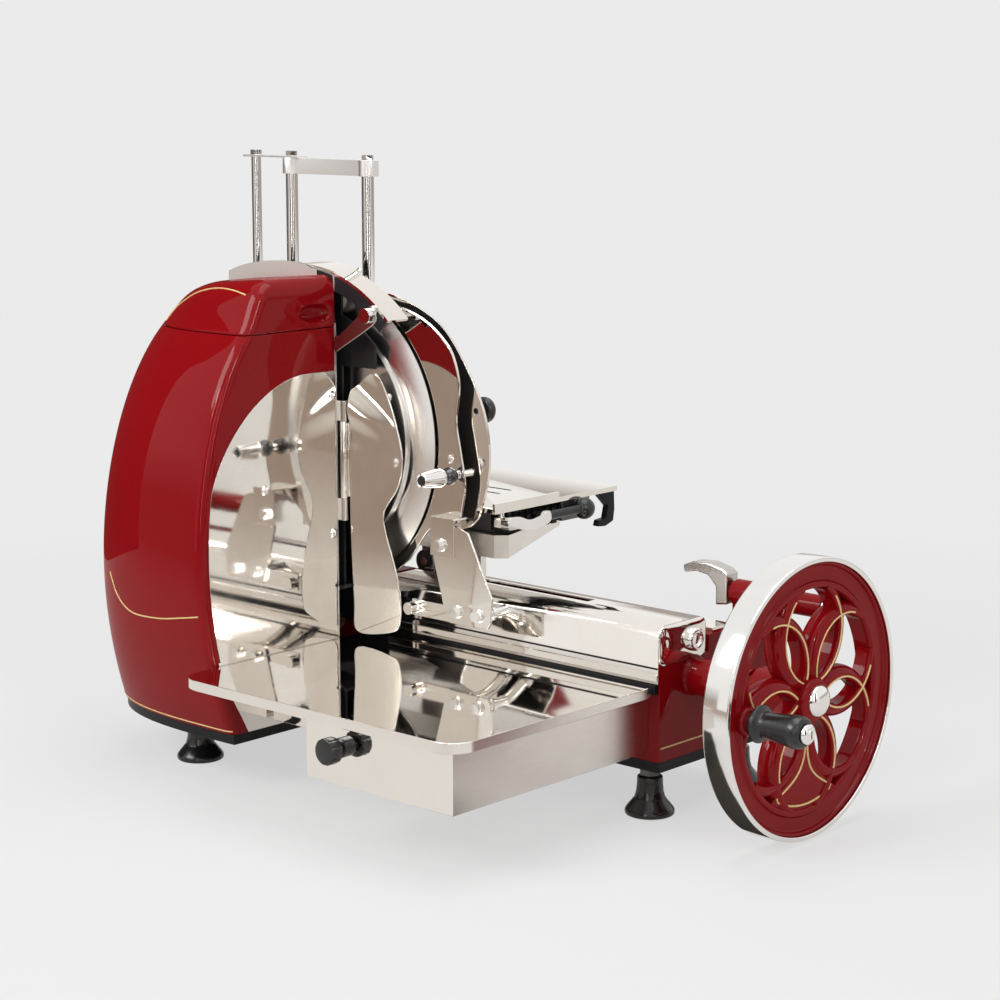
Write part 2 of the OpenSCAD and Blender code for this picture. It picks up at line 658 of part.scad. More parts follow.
knuckle_z = [blade_h - 80, blade_h - 58, blade_h + 19, blade_h + 39];
deflector_edge = [[55, 40], [64, 54], [88, 68], [104, 45], [116, 12], [121, -14], [116, -40], [102,
    -60], [97, -72],
    [101, -92], [110, -118], [117, -150], [117, -172], [108, -186], [63, -191], [59, -160], [56, -100],
        [55, -30]];
module deflector() color(steel) difference() {
    union() {
        translate([hinge_x, hinge_y, 0]) rotate([0, 0, deflector_turn]) translate([-hinge_x, -hinge_y, 0])
            slab_y(deflector_y - sheet_t, deflector_y) {
                translate([0, blade_h]) polygon(smooth(deflector_edge, 5));
                translate([hinge_x, knuckle_z[1] + 2]) square([10, knuckle_z[2] - knuckle_z[1] - 4]);
            }
        translate([hinge_x, hinge_y, knuckle_z[1] + 0.3]) cylinder(r = hinge_r,
            h = knuckle_z[2] - knuckle_z[1] - 0.6);
    }
    translate([hinge_x, hinge_y, 0]) cylinder(r = hinge_pin_r + run_gap, h = far);
}
module deflector_hinge() color(steel) {
    for (k = [[0, 1], [2, 3]]) {
        translate([hinge_x, hinge_y, knuckle_z[k[0]]]) cylinder(r = hinge_r,
            h = knuckle_z[k[1]] - knuckle_z[k[0]]);
        box([face_x - back_in, hinge_y - 3, knuckle_z[k[0]]], [hinge_x, hinge_y + 2, knuckle_z[k[1]]]);
        box([face_x - back_in - 8, back_y1, knuckle_z[k[0]]], [face_x, hinge_y + 2, knuckle_z[k[1]]]);
    }
    box([face_x - back_in - 8, back_y1, knuckle_z[0]], [face_x - back_in, hinge_y + 2, knuckle_z[3]]);
    translate([hinge_x, hinge_y, knuckle_z[0]]) cylinder(r = hinge_pin_r, h = knuckle_z[3] - knuckle_z[0]);
}
latch_z = bed_z + 20;
module deflector_latch() color(chrome) {
    slab_y(bracket_y + bracket_t, bracket_y + bracket_t + guard_t)
        polygon([[128, latch_z - 8], [182, latch_z - 8], [182, latch_z + 2], [174, latch_z + 8], [128,
            latch_z + 8]]);
    translate([132, 0, latch_z]) bar_y(6, bracket_y - 8, bracket_y + bracket_t);
}

tray_x0 = face_x + sheet_t + 0.5;
tray_round = 14;
module tray_outline(in) {
    x0 = tray_x0 + in;
    translate([x0, tray_y0 + in + tray_round]) square([tray_x1 - in - x0,
        tray_y1 - tray_y0 - in - tray_round]);
    translate([x0 + tray_round, tray_y0 + in]) square([tray_x1 - in - x0 - 2 * tray_round, tray_round + 1]);
    for (x = [x0 + tray_round, tray_x1 - in - tray_round])
        translate([x, tray_y0 + in + tray_round]) circle(r = tray_round);
}
module tray() color(steel) difference() {
    translate([0, 0, tray_z - tray_rim]) linear_extrude(tray_rim) tray_outline(0);
    translate([0, 0, tray_z - tray_rim - 1]) linear_extrude(tray_rim + 1 - sheet_t) union() {
        tray_outline(sheet_t);
        translate([tray_x0 + sheet_t, 0]) square([tray_x1 - tray_x0 - 2 * sheet_t, far]);
    }
}
skirt_top = tray_z - sheet_t;
skirt_left = face_x + 6;
skirt_hole = [skirt_x0 + 48, skirt_z0 + 36];
module skirt_outline(in) polygon([[skirt_x0 + in, skirt_y0 + in], [skirt_x1 - in, skirt_y0 + in],
    [skirt_x1 - in, base_y0], [skirt_left + in, base_y0], [skirt_left + in, skirt_y0 + skirt_step + in],
    [skirt_x0 + in, skirt_y0 + skirt_step + in]]);
module tray_skirt() color(steel) difference() {
    translate([0, 0, skirt_z0]) linear_extrude(skirt_top - skirt_z0) difference() {
        skirt_outline(0);
        skirt_outline(sheet_t);
    }
    translate([skirt_hole[0], 0, skirt_hole[1]]) bar_y(4 + run_gap, -far, skirt_y0 + 5);
}
module tray_knob() color(black) translate([skirt_hole[0], skirt_y0, skirt_hole[1]]) rotate([90, 0, 0])
    difference() {
        union() {
            rotate_extrude() polygon([[0, 0], [9, 0], [9, 6], [6, 8], [6, 11], [knob_r - 1, 12],
                [knob_r, 13],
                [knob_r, knob_l - 1], [knob_r - 1, knob_l], [0, knob_l]]);
            translate([0, 0, -sheet_t - 6]) cylinder(r = 4, h = sheet_t + 7);
        }
        for (k = [0 : 11]) rotate([0, 0, 30 * k]) translate([knob_r + 1.2, 0, 12]) cylinder(r = 2,
            h = knob_l);
    }

cover_low = tray_z + 3;
slot_w = 12;
module cover_profile(in) polygon([[cover_y0 + in, cover_low - in], [cover_y0 + in, cover_z - 9 - in / 2],
    [cover_y0 + 3 + in / 2, cover_z - 3 - in], [cover_y0 + 8, cover_z - in], [cover_y1 - 8, cover_z - in],
    [cover_y1 - 3 - in / 2, cover_z - 3 - in], [cover_y1 - in, cover_z - 9 - in / 2], [cover_y1 - in,
        bed_z - in],
    [base_y0 - 0.5, bed_z - in], [base_y0 - 0.5, cover_low - in]]);
module rail_cover() color(steel) difference() {
    slab_x(cover_x0, base_x1) cover_profile(0);
    slab_x(cover_x0 - 1, base_x1 - cover_t) cover_profile(cover_t);
    box([cover_x0 - 1, rod_y - slot_w / 2, rod_z], [slot_x1, rod_y + slot_w / 2, far]);
    for (s = spacer_at) translate([s[0], 0, s[1]]) bar_y(3 + run_gap, -far, cover_y0 + cover_t + 1);
}
module guide_rod() color(chrome) translate([0, rod_y, rod_z]) bar_x(rod_r, rod_x0, rod_x1);
bush_l = 40;
leg_x = 25;
leg_y = 130;
axle_z = rear_z + rail_t + roller_r + 0.05;
module carriage_casting() color(steel) difference() {
    union() {
        difference() {
            translate([0, 0, carriage_z]) linear_extrude(carriage_t)
                polygon([[-70, 52], [182, 52], [192, 62], [160, 176], [146, 190], [-70, 190]]);
            slab_x(-far, far) polygon([[62, carriage_z - 1], [200, carriage_z - 1],
                [200, carriage_z + 16], [62, carriage_z]]);
        }
        box([lug_x - 12, rod_y - lug_t / 2, rod_z], [lug_x + 12, rod_y + lug_t / 2, carriage_z + 8]);
        translate([0, rod_y, rod_z]) bar_x(rod_r + 5, lug_x - bush_l / 2, lug_x + bush_l / 2);
        box([leg_x - 16, leg_y, axle_z - 8], [leg_x + 16, leg_y + 8, carriage_z + carriage_t - 5]);
        translate([leg_x, 0, axle_z]) bar_y(4, leg_y - 14, leg_y + 1);
    }
    translate([0, rod_y, rod_z]) bar_x(rod_r + run_gap, -far, far);
}
module rear_rail() color(steel) box([plinth_x0 + 10, leg_y - 14, rear_z], [base_x1 - 4, leg_y + 14,
    rear_z + rail_t]);
module rear_roller() color(iron) translate([leg_x, 0, axle_z]) difference() {
    bar_y(roller_r, leg_y - 13, leg_y - 0.5);
    bar_y(4 + run_gap, -far, far);
}

table_x0 = -150;
slide_z = carriage_z + carriage_t;
lip_h = 5;
module meat_table() color(steel) difference() {
    union() {
        box([table_x0, table_y0, table_z - table_t], [table_x1, table_y1, table_z]);
        box([table_x1 - 3, table_y0, table_z - 1], [table_x1, table_y0 + 95, table_z + lip_h]);
    }
    for (s = [[102, 142, 122], [126, 146, 100]]) box([s[0], s[2] - 2, 0], [s[1], s[2] + 2, far]);
    translate([lever_pin[0], lever_pin[1], 0]) cylinder(r = lever_pin_r + run_gap, h = far);
}
module cross_slide() color(iron) {
    box([10, table_y0 + 32, slide_z], [table_x1 - 31, table_y1 - 35, table_z - table_t]);
    box([table_x1 - 32, table_y1 - 78, slide_z + 4], [table_x1 - 7, table_y1 - 35, table_z - table_t]);
}
module rack_cover() color(black) difference() {
    box([table_x1 - 31, table_y0 + 28, slide_z + 3], [table_x1 - 9, table_y1 - 83, table_z - table_t]);
    for (k = [0 : 6]) translate([table_x1 - 12, table_y0 + 34 + 9.4 * k, slide_z])
        cube([4, 4, table_z - table_t - 3 - slide_z]);
}
module stop_bracket() color(black) slab_x(table_x1 - 10, table_x1 - 2) translate([table_y1, table_z])
    polygon([[-27, -table_t], [-2, -table_t], [-1, -24], [-3, -36], [-15, -40], [-27, -39], [-25, -33],
        [-14, -32],
        [-11, -20]]);
lever_x = table_x1;
lever_w = 10;
lever_pin = [table_x1 - 7, 47];
lever_pin_r = 3;
lever_z = table_z - 15;
module feed_lever() color(chrome) {
    slab_x(lever_x, lever_x + lever_w) polygon(smooth([[40, lever_z + 5], [54, lever_z + 6], [70,
        lever_z + 1],
        [86, lever_z + 3], [99, lever_z + 6], [101, lever_z - 4], [86, lever_z - 9], [70, lever_z - 10],
        [54, lever_z - 6], [40, lever_z - 5]], 5));
    box([lever_pin[0] - 4, lever_pin[1] - 6, lever_z - 5], [lever_x + 1, lever_pin[1] + 6, lever_z + 5]);
    translate([lever_pin[0], lever_pin[1], lever_z]) cylinder(r = lever_pin_r, h = table_z - lever_z);
    translate([lever_x + lever_w / 2, 0, lever_z]) bar_y(2.5, 99, 112);
}
ball_r = 11;
module lever_ball() color(black) translate([lever_x + lever_w / 2, 0, lever_z]) difference() {
    union() {
        bar_y(4.5, 103, 150);
        translate([0, 157, 0]) sphere(r = ball_r);
    }
    bar_y(2.5 + run_gap, 90, 112);
}

post_base = 10;
strap_h = 16;
nut_h = 5;
module post_at(k) translate([post_x[k], post_y, 0]) children();
thin_post_r = 5;
module post_bar() color(steel) difference() {
    box([post_x[0] - 14, post_y - 12, table_z], [post_x[2] + 16, post_y + 12, table_z + post_base]);
    for (k = [0 : 2]) post_at(k) cylinder(r = (k == 0 ? thin_post_r : post_r) + run_gap, h = far);
}
module posts() color(chrome) {
    for (k = [0 : 2]) post_at(k) {
        translate([0, 0, table_z]) cylinder(r = k == 0 ? thin_post_r : post_r, h = post_z - table_z);
        translate([0, 0, post_z + (k == 2 ? 0 : 2)]) cylinder(r = 6, h = nut_h, $fn = 6);
    }
}
module post_strap() color(steel) {
    difference() {
        union() {
            box([post_x[1], post_y - 4, post_z - strap_h], [post_x[2] + 12, post_y + 4, post_z]);
            for (k = [1, 2]) post_at(k) translate([0, 0, post_z - strap_h]) cylinder(r = post_r + 3,
                h = strap_h);
        }
        for (k = [1, 2]) post_at(k) cylinder(r = post_r + run_gap, h = far);
    }
    difference() {
        box([post_x[0] - 13, post_y - 7, post_z], [post_x[1] + 16, post_y + 7, post_z + 2]);
        for (k = [0, 1]) post_at(k) cylinder(r = 3, h = far);
    }
}
spike_r = 2.5;
module meat_clamp() color(steel) difference() {
    union() {
        box([post_x[1] - 14, post_y - 11, clamp_z], [post_x[2] + 14, post_y + 11, clamp_z + 24]);
        box([post_x[2] + 13, post_y - 8, clamp_z + 6], [post_x[2] + 136, post_y + 8, clamp_z + 18]);
        for (k = [0 : 5]) translate([post_x[2] + 32 + 19 * k, post_y, clamp_z - 16])
            cylinder(r1 = 0.5, r2 = spike_r, h = 23);
    }
    for (k = [1, 2]) post_at(k) cylinder(r = post_r + run_gap, h = far);
}

module control_arm() color(red) difference() {
    union() {
        translate([base_x1, arm_y, arm_z]) bar_x(arm_r, -26, 79);
        box([base_x1 - 23, arm_y - 8, bed_z], [base_x1, arm_y + 8, arm_z]);
        translate([base_x1, arm_y, arm_z]) bar_x(arm_r + 2, -23, 0);
    }
    translate([0, arm_y, arm_z]) bar_x(lever_shaft_r + run_gap, -far, far);
}
module hook_lever() color(chrome) {
    translate([base_x1, arm_y, arm_z]) {
        bar_x(lever_shaft_r, -33, 82);
        bar_x(14, 81, 93);
        slab_y(-9, 9) polygon([[-43, -14], [-29, -12], [-29, 18], [-35, 22], [-53, 26], [-71, 25], [-83,
            20], [-81, 13],
            [-67, 16], [-53, 14], [-43, 4]]);
    }
}

ring_r1 = wheel_r - rim_t;
ring_r0 = ring_r1 - band_w;
web_x0 = wheel_x - rim_w + 3;
web_x1 = wheel_x - 5;
petal_in = hub_r - 4;
petal_out = ring_r0 - 18;
petal_half = 14;
rib_in = 3;
fan_half = 30;
fan_side = [[hub_r - 4, 6], [36, 6.5], [48, 8], [60, 13], [70, 22], [79, 36], [87, 48]];
petal_c = (petal_in + petal_out) / 2;
petal_span = (petal_out - petal_in) / 2;
petal_rho = (petal_span * petal_span + petal_half * petal_half) / (2 * petal_half);
petal_d = petal_rho - petal_half;
// One rib of a petal: an arc from the hub that crosses its twin and curls into the ring
module rib() intersection() {
    translate([petal_c, -petal_d]) difference() {
        circle(r = petal_rho + rib_w - rib_in);
        circle(r = petal_rho - rib_in);
    }
    translate([petal_in - 4, -petal_d - 4]) square([far, far]);
    circle(r = ring_r0 + 2);
}
spindle_x0 = web_x0 + 2;
crank_pin_r = 5;
module at_crank() translate([0, wheel_y - crank_r, wheel_z]) children();
module flywheel() color(red) difference() {
    union() {
        at_wheel() {
            slab_x(web_x0, web_x1) {
                difference() {
                    circle(r = ring_r1 - seat_gap);
                    circle(r = ring_r0);
                }
                rotate(87) for (k = [0 : petals - 1], s = [0, 1])
                    rotate(180 / petals + 360 * k / petals) mirror([0, s]) rib();
                rotate(-93) for (m = [0, 1]) mirror([0, m]) polygon(concat([[hub_r - 4, -1]], fan_side,
                    [for (q = [fan_half : -fan_half / 5 : 0]) (ring_r0 + 2) * [cos(q), sin(q)]],
                    [[ring_r0 + 2, -1]]));
            }
            bar_x(hub_r, wheel_x - 60, wheel_x + 4);
        }
        at_crank() bar_x(13, spindle_x0, wheel_x + 2);
    }
    at_wheel() bar_x(shaft_r + run_gap, -far, wheel_x);
    at_crank() bar_x(crank_pin_r + run_gap, -far, far);
}
module wheel_rim() color(chrome) at_wheel() difference() {
    bar_x(wheel_r, wheel_x - rim_w, wheel_x);
    bar_x(ring_r1, -far, far);
}
module hub_cap() color(chrome) at_wheel() translate([wheel_x + 4, 0, 0]) rotate([0, 90, 0])
    rotate_extrude() polygon([[0, 0], [15, 0], [14.5, 3], [11, 6], [5, 7.6], [0, 8]]);
module crank_spindle() color(chrome) at_crank() {
    bar_x(crank_pin_r, spindle_x0, grip_x0 + grip_l);
    bar_x(8, wheel_x + 2, grip_x0 - 0.5);
    translate([grip_x0 + grip_l, 0, 0]) rotate([0, 90, 0])
        rotate_extrude() polygon([[0, 0], [9, 0], [9, 3], [7, nut_l], [0, nut_l]]);
}
module flywheel_shaft() {
    color(chrome) at_wheel() bar_x(shaft_r, cross_x + bevel_r - bevel_face, wheel_x);
    color(bronze) translate([cross_x, wheel_y, wheel_z]) rotate([0, 90, 0]) rotate([0, 0, 9]) bevel_gear();
}
module crank_grip() color(black) translate([grip_x0, wheel_y - crank_r, wheel_z]) rotate([0, 90, 0])
    difference() {
    rotate_extrude() polygon([[0, 0], [grip_r + 1, 0], [grip_r + 2, 2], [grip_r, 5], [grip_r - 3.5, 7],
        [grip_r - 3.5, 11],
        [grip_r - 1.8, 26], [grip_r, 40], [grip_r - 1, 45], [grip_r - 4, grip_l - 0.5], [0, grip_l - 0.5]]);
    translate([0, 0, -1]) cylinder(r = crank_pin_r + run_gap, h = far);
}

place() foot_pads();
place() foot_studs();
place() plinth();
place() base_casting();
place() casing_shell();
place() lid();
place() splash_plate();
place() dome_screws();
place() back_plate();
place() rim_guard();
place() guard_arm();
place() blade_guard();
place() round_guard();
place() guard_knob();
place() guard_pin();
place() guard_bracket();
place() bracket_bolts();
place() guard_spacers();
place() blade();
place() blade_flange();
place() blade_screws();
place() blade_shaft();
place() top_sprocket();
place() main_column();
place() drive_chain();
place() cross_shaft();
place() cross_bevel();
place() low_sprocket();
place() bushes();
place() shaft_housing();
place() deflector();
place() deflector_hinge();
place() deflector_latch();
place() tray();
place() tray_skirt();
place() tray_knob();
place() rail_cover();
place() guide_rod();
place() carriage_casting();
place() rear_rail();
place() rear_roller();
place() meat_table();
place() cross_slide();
place() rack_cover();
place() stop_bracket();
place() feed_lever();
place() lever_ball();
place() post_bar();
place() posts();
place() post_strap();
place() meat_clamp();
place() sharpening_stones();
place() control_arm();
place() hook_lever();
place() flywheel();
place() wheel_rim();
place() hub_cap();
place() crank_spindle();
place() flywheel_shaft();
place() crank_grip();
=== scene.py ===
import json
import math
import bmesh
import bpy
from mathutils import Matrix, Vector


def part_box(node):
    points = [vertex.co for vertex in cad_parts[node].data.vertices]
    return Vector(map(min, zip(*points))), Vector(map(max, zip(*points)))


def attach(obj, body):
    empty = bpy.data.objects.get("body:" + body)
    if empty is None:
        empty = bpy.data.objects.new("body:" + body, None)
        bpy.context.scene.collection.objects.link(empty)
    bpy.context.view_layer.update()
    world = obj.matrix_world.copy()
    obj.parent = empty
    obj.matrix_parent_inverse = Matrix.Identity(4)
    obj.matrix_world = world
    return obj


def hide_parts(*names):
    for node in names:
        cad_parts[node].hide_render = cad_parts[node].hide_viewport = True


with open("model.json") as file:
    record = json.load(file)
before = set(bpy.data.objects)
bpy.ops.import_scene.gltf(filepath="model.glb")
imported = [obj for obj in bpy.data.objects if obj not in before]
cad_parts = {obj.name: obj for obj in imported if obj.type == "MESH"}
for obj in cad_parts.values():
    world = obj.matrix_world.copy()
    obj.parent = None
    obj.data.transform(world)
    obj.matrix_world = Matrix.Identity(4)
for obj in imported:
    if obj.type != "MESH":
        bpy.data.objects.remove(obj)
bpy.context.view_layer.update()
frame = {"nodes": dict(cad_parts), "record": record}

# ---------------------------------------------------------------- the drawing's own frame
# Millimetres from the blade axis (X, Y) and the table top (Z), as on the workshop drawing.
MM = 0.001
BLADE_FRONT = -2.0
blade_low, blade_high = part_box("blade")
SHIFT = Vector(((blade_low.x + blade_high.x) / 2, blade_low.y - BLADE_FRONT * MM, 0))
BLADE_H = 327.0
FACE_X, LIP_X = 45.0, 21.0
SEAM_Z = 438.5
PLINTH_Z = 56.0
WHEEL_Y, WHEEL_Z, WHEEL_X = 80.0, 131.0, 542.0
X_AXIS, Y_AXIS, Z_AXIS = Vector((1, 0, 0)), Vector((0, 1, 0)), Vector((0, 0, 1))
MERGE = 2e-6


def at(x, y, z):
    """A place on the drawing, in metres."""
    return Vector((x, y, z)) * MM + SHIFT


def x_at(x):
    return x * MM + SHIFT.x


def y_at(y):
    return y * MM + SHIFT.y


# ---------------------------------------------------------------- shader values
class Wire:
    """A value in a finish's node tree. Arithmetic on it adds Math nodes."""

    def __init__(self, tree, socket=None):
        self.tree = tree
        self.socket = socket

    def node(self, kind, settings=None, inputs=None, out=0):
        made = self.tree.nodes.new("ShaderNode" + kind)
        for key, value in (settings or {}).items():
            setattr(made, key, value)
        for key, value in (inputs or {}).items():
            if isinstance(value, Wire):
                self.tree.links.new(value.socket, made.inputs[key])
            else:
                made.inputs[key].default_value = value
        return Wire(self.tree, made.outputs[out] if made.outputs else None)

    def math(self, operation, first, second=0.0):
        return self.node("Math", {"operation": operation}, {0: first, 1: second})

    def __add__(self, other):
        return self.math("ADD", self, other)

    __radd__ = __add__

    def __sub__(self, other):
        return self.math("SUBTRACT", self, other)

    def __rsub__(self, other):
        return self.math("SUBTRACT", other, self)

    def __mul__(self, other):
        return self.math("MULTIPLY", self, other)

    __rmul__ = __mul__

    def __gt__(self, other):
        return self.math("GREATER_THAN", self, other)

    def __lt__(self, other):
        return self.math("LESS_THAN", self, other)

    def clipped(self, low, high):
        return self.node("MapRange", {"clamp": True}, {0: self, 1: low, 2: high, 3: 0.0, 4: 1.0})

    def blend(self, first, second):
        """A colour between two, by this value."""
        return self.node("Mix", {"data_type": "RGBA"}, {0: self, 6: first, 7: second}, out=2)


def place_of(wire):
    return wire.node("TexCoord", out="Object")


def along(wire, spot, axis):
    """One coordinate of a place: 0 for X, 1 for Y, 2 for Z."""
    return wire.node("SeparateXYZ", {}, {0: spot}, out=axis)


def grain(wire, spot, scale, detail=2.0, rough=0.5):
    return wire.node("TexNoise", {}, {"Vector": spot, "Scale": scale, "Detail": detail, "Roughness": rough})


def stretched(wire, spot, factors):
    return wire.node("Mapping", {"vector_type": "POINT"}, {"Vector": spot, "Scale": factors})


def bump(wire, height, strength, distance=0.001):
    return wire.node("Bump", {}, {"Height": height, "Strength": strength, "Distance": distance})


def rgb(r, g, b):
    return (r, g, b, 1.0)


def blank_material(name):
    material = bpy.data.materials.new(name)
    material.use_nodes = True
    material.node_tree.nodes.clear()
    return material, Wire(material.node_tree)


def finish(name, recipe):
    material, wire = blank_material(name)
    shader = wire.node("BsdfPrincipled", {}, recipe(wire))
    wire.node("OutputMaterial", {}, {"Surface": shader})
    return material


def enamel(dark, light):
    """Glossy stove enamel: slow drift of depth, fine orange peel, a clear top coat."""
    def recipe(wire):
        spot = place_of(wire)
        drift = grain(wire, spot, 7.0, 3.0)
        peel = grain(wire, spot, 420.0, 1.0)
        speck = grain(wire, spot, 1500.0, 0.0).clipped(0.70, 0.76)
        return {"Base Color": (drift * 0.8 + speck * 0.2).blend(dark, light),
                "Roughness": 0.30 + drift * 0.10, "Coat Weight": 0.30 + drift * 0.10,
                "Coat Roughness": 0.02, "IOR": 1.5, "Specular IOR Level": 0.0,
                "Normal": bump(wire, peel, 0.03, 0.0006)}
    return recipe


def polished(tint, shadow, rough, ripple=0.05, lines=(40.0, 40.0, 900.0)):
    """Mirror-polished sheet: buffing lines, faint handling smears, a slow ripple of the sheet."""
    def recipe(wire):
        spot = place_of(wire)
        buff = grain(wire, stretched(wire, spot, lines), 1.0, 3.0, 0.6)
        cross = grain(wire, stretched(wire, spot, (lines[2], lines[1] * 0.6, lines[0])), 1.0, 2.0)
        smear = grain(wire, spot, 16.0, 4.0, 0.62).clipped(0.42, 0.78)
        wave = grain(wire, spot, 9.0, 1.0)
        height = wave * 1.0 + buff * 0.02
        return {"Base Color": (smear * 0.5 + buff * 0.3).blend(tint, shadow), "Metallic": 1.0,
                "Roughness": rough + buff * 0.03 + cross * 0.015 + smear * 0.03,
                "Normal": bump(wire, height, ripple, 0.004)}
    return recipe


def plated(tint, rough):
    """Bright plating: hairline scratches, a little haze."""
    def recipe(wire):
        spot = place_of(wire)
        haze = grain(wire, spot, 28.0, 4.0, 0.6)
        hair = grain(wire, stretched(wire, spot, (60.0, 1400.0, 300.0)), 1.0, 2.0)
        dulled = (tint[0] * 0.88, tint[1] * 0.87, tint[2] * 0.86, 1.0)
        return {"Base Color": haze.blend(tint, dulled), "Metallic": 1.0,
                "Roughness": rough + haze * 0.05 + hair * 0.03,
                "Normal": bump(wire, hair, 0.015, 0.0004)}
    return recipe


def ground(wire):
    """Blade steel: rings left by the grinder around the blade axis, a duller ground bevel."""
    spot = place_of(wire)
    offset = wire.node("VectorMath", {"operation": "SUBTRACT"},
                       {0: spot, 1: (SHIFT.x, 0.0, BLADE_H * MM)})
    flat = wire.node("VectorMath", {"operation": "MULTIPLY"}, {0: offset, 1: (1.0, 0.0, 1.0)})
    radius = wire.node("VectorMath", {"operation": "LENGTH"}, {0: flat}, out="Value")
    turn = wire.node("CombineXYZ", {}, {0: radius * 1400.0})
    ring = grain(wire, turn, 1.0, 3.0, 0.65)
    broad = grain(wire, spot, 20.0, 2.0)
    edge = radius.clipped(0.128, 0.131)
    return {"Base Color": (ring * 0.6 + broad * 0.3).blend(rgb(0.92, 0.91, 0.90), rgb(0.74, 0.73, 0.71)),
            "Metallic": 1.0, "Roughness": 0.10 + ring * 0.12 + edge * 0.06,
            "Normal": bump(wire, ring, 0.05, 0.0005)}


def moulded(shade, rough, pebble=0.05):
    """Moulded black plastic or rubber: fine pebble, a dusting of lighter wear."""
    def recipe(wire):
        spot = place_of(wire)
        fine = grain(wire, spot, 1600.0, 2.0)
        wear = grain(wire, spot, 60.0, 4.0, 0.6).clipped(0.5, 0.85)
        lighter = tuple(c * 2.2 + 0.006 for c in shade[:3]) + (1.0,)
        return {"Base Color": (wear * 0.6).blend(shade, lighter),
                "Roughness": rough + wear * 0.12 + fine * 0.06,
                "Normal": bump(wire, fine, pebble, 0.0004)}
    return recipe


def machined(tint, worn, rough):
    """Plain machined or cast metal with oil stains and tool marks."""
    def recipe(wire):
        spot = place_of(wire)
        stain = grain(wire, spot, 45.0, 5.0, 0.65)
        marks = grain(wire, stretched(wire, spot, (900.0, 120.0, 120.0)), 1.0, 2.0)
        return {"Base Color": (stain * 0.7 + marks * 0.3).blend(tint, worn), "Metallic": 0.9,
                "Roughness": rough + stain * 0.2, "Normal": bump(wire, stain + marks * 0.4, 0.08, 0.0006)}
    return recipe


def gilt(wire):
    """Gold striping paint, brushed by hand: slightly uneven."""
    spot = place_of(wire)
    stroke = grain(wire, spot, 180.0, 3.0)
    return {"Base Color": stroke.blend(rgb(0.82, 0.62, 0.28), rgb(0.66, 0.46, 0.18)), "Metallic": 0.15,
            "Roughness": 0.30 + stroke * 0.18, "Normal": bump(wire, stroke, 0.05, 0.0003)}


def grit(wire):
    """Bonded abrasive."""
    spot = place_of(wire)
    crumb = grain(wire, spot, 1800.0, 3.0)
    return {"Base Color": crumb.blend(rgb(0.30, 0.28, 0.25), rgb(0.52, 0.49, 0.45)), "Roughness": 0.9,
            "Normal": bump(wire, crumb, 0.5, 0.0006)}


PLATE_FACE_Y, PLATE_EDGE_Y, GUARD_BACK_Y = -27.4, -24.0, 6.3


def lip_and_black(wire):
    """The back plate: polished on its face and its end edge, black inside the blade's housing."""
    spot = place_of(wire)
    across, depth = along(wire, spot, 0), along(wire, spot, 1)
    end_edge = across > x_at(FACE_X - 1.5)
    over_lid = wire.math("MAXIMUM", across < x_at(LIP_X), end_edge) * (across < x_at(FACE_X + 0.6))
    front = wire.math("MAXIMUM", depth < y_at(PLATE_FACE_Y), end_edge * (depth < y_at(PLATE_EDGE_Y)))
    bright = front * over_lid
    haze = grain(wire, spot, 24.0, 4.0)
    black = haze.blend(rgb(0.010, 0.010, 0.011), rgb(0.022, 0.022, 0.024))
    steel = haze.blend(rgb(0.90, 0.88, 0.85), rgb(0.80, 0.78, 0.75))
    return {"Base Color": bright.blend(black, steel), "Metallic": bright,
            "Roughness": 0.34 + haze * 0.1 + bright * 0.06, "Coat Weight": 0.1 - bright * 0.1,
            "Specular IOR Level": 0.25, "Normal": bump(wire, haze, 0.04, 0.002)}


GUARD_TINT, GUARD_SHADOW = rgb(0.82, 0.785, 0.74), rgb(0.72, 0.68, 0.63)
SHEET_TINT = rgb(0.86, 0.83, 0.79)
# how steeply the shading of three flat sheets leans; their shapes stay flat
END_LEAN, COVER_LEAN, ROUND_LEAN = -0.21, -0.17, -0.29


def shade_backed(wire):
    """The wavy guard: polished towards the tray; its side that faces the blade has painted shade, near-black colour."""
    spot = place_of(wire)
    back_in_shade = along(wire, spot, 1) > y_at(GUARD_BACK_Y)
    haze = grain(wire, spot, 16.0, 4.0, 0.62)
    steel = haze.blend(GUARD_TINT, GUARD_SHADOW)
    # painted shade: near-black colour on the back, which faces the blade and lies in shade
    return {"Base Color": back_in_shade.blend(steel, rgb(0.012, 0.012, 0.013)), "Metallic": 1.0 - back_in_shade,
            "Roughness": 0.02 + haze * 0.03 + back_in_shade * 0.4,
            "Normal": bump(wire, grain(wire, spot, 9.0, 1.0), 0.02, 0.004)}


def brushed_end(end_x):
    """The tray and its skirt: polished in front, brushed on the long end face, shaded as if it toed in."""
    def recipe(wire):
        spot = place_of(wire)
        end = along(wire, spot, 0) > x_at(end_x)
        lean = end * along(wire, spot, 1) * END_LEAN
        brush = grain(wire, stretched(wire, spot, (60.0, 60.0, 1200.0)), 1.0, 3.0, 0.6)
        haze = grain(wire, spot, 18.0, 4.0, 0.6)
        return {"Base Color": (haze * 0.6 + brush * 0.3).blend(SHEET_TINT, rgb(0.76, 0.72, 0.67)),
                "Metallic": 1.0, "Roughness": 0.025 + haze * 0.03 + end * (0.14 + brush * 0.1),
                "Normal": bump(wire, lean + brush * 0.00001, 1.0, 1.0)}
    return recipe


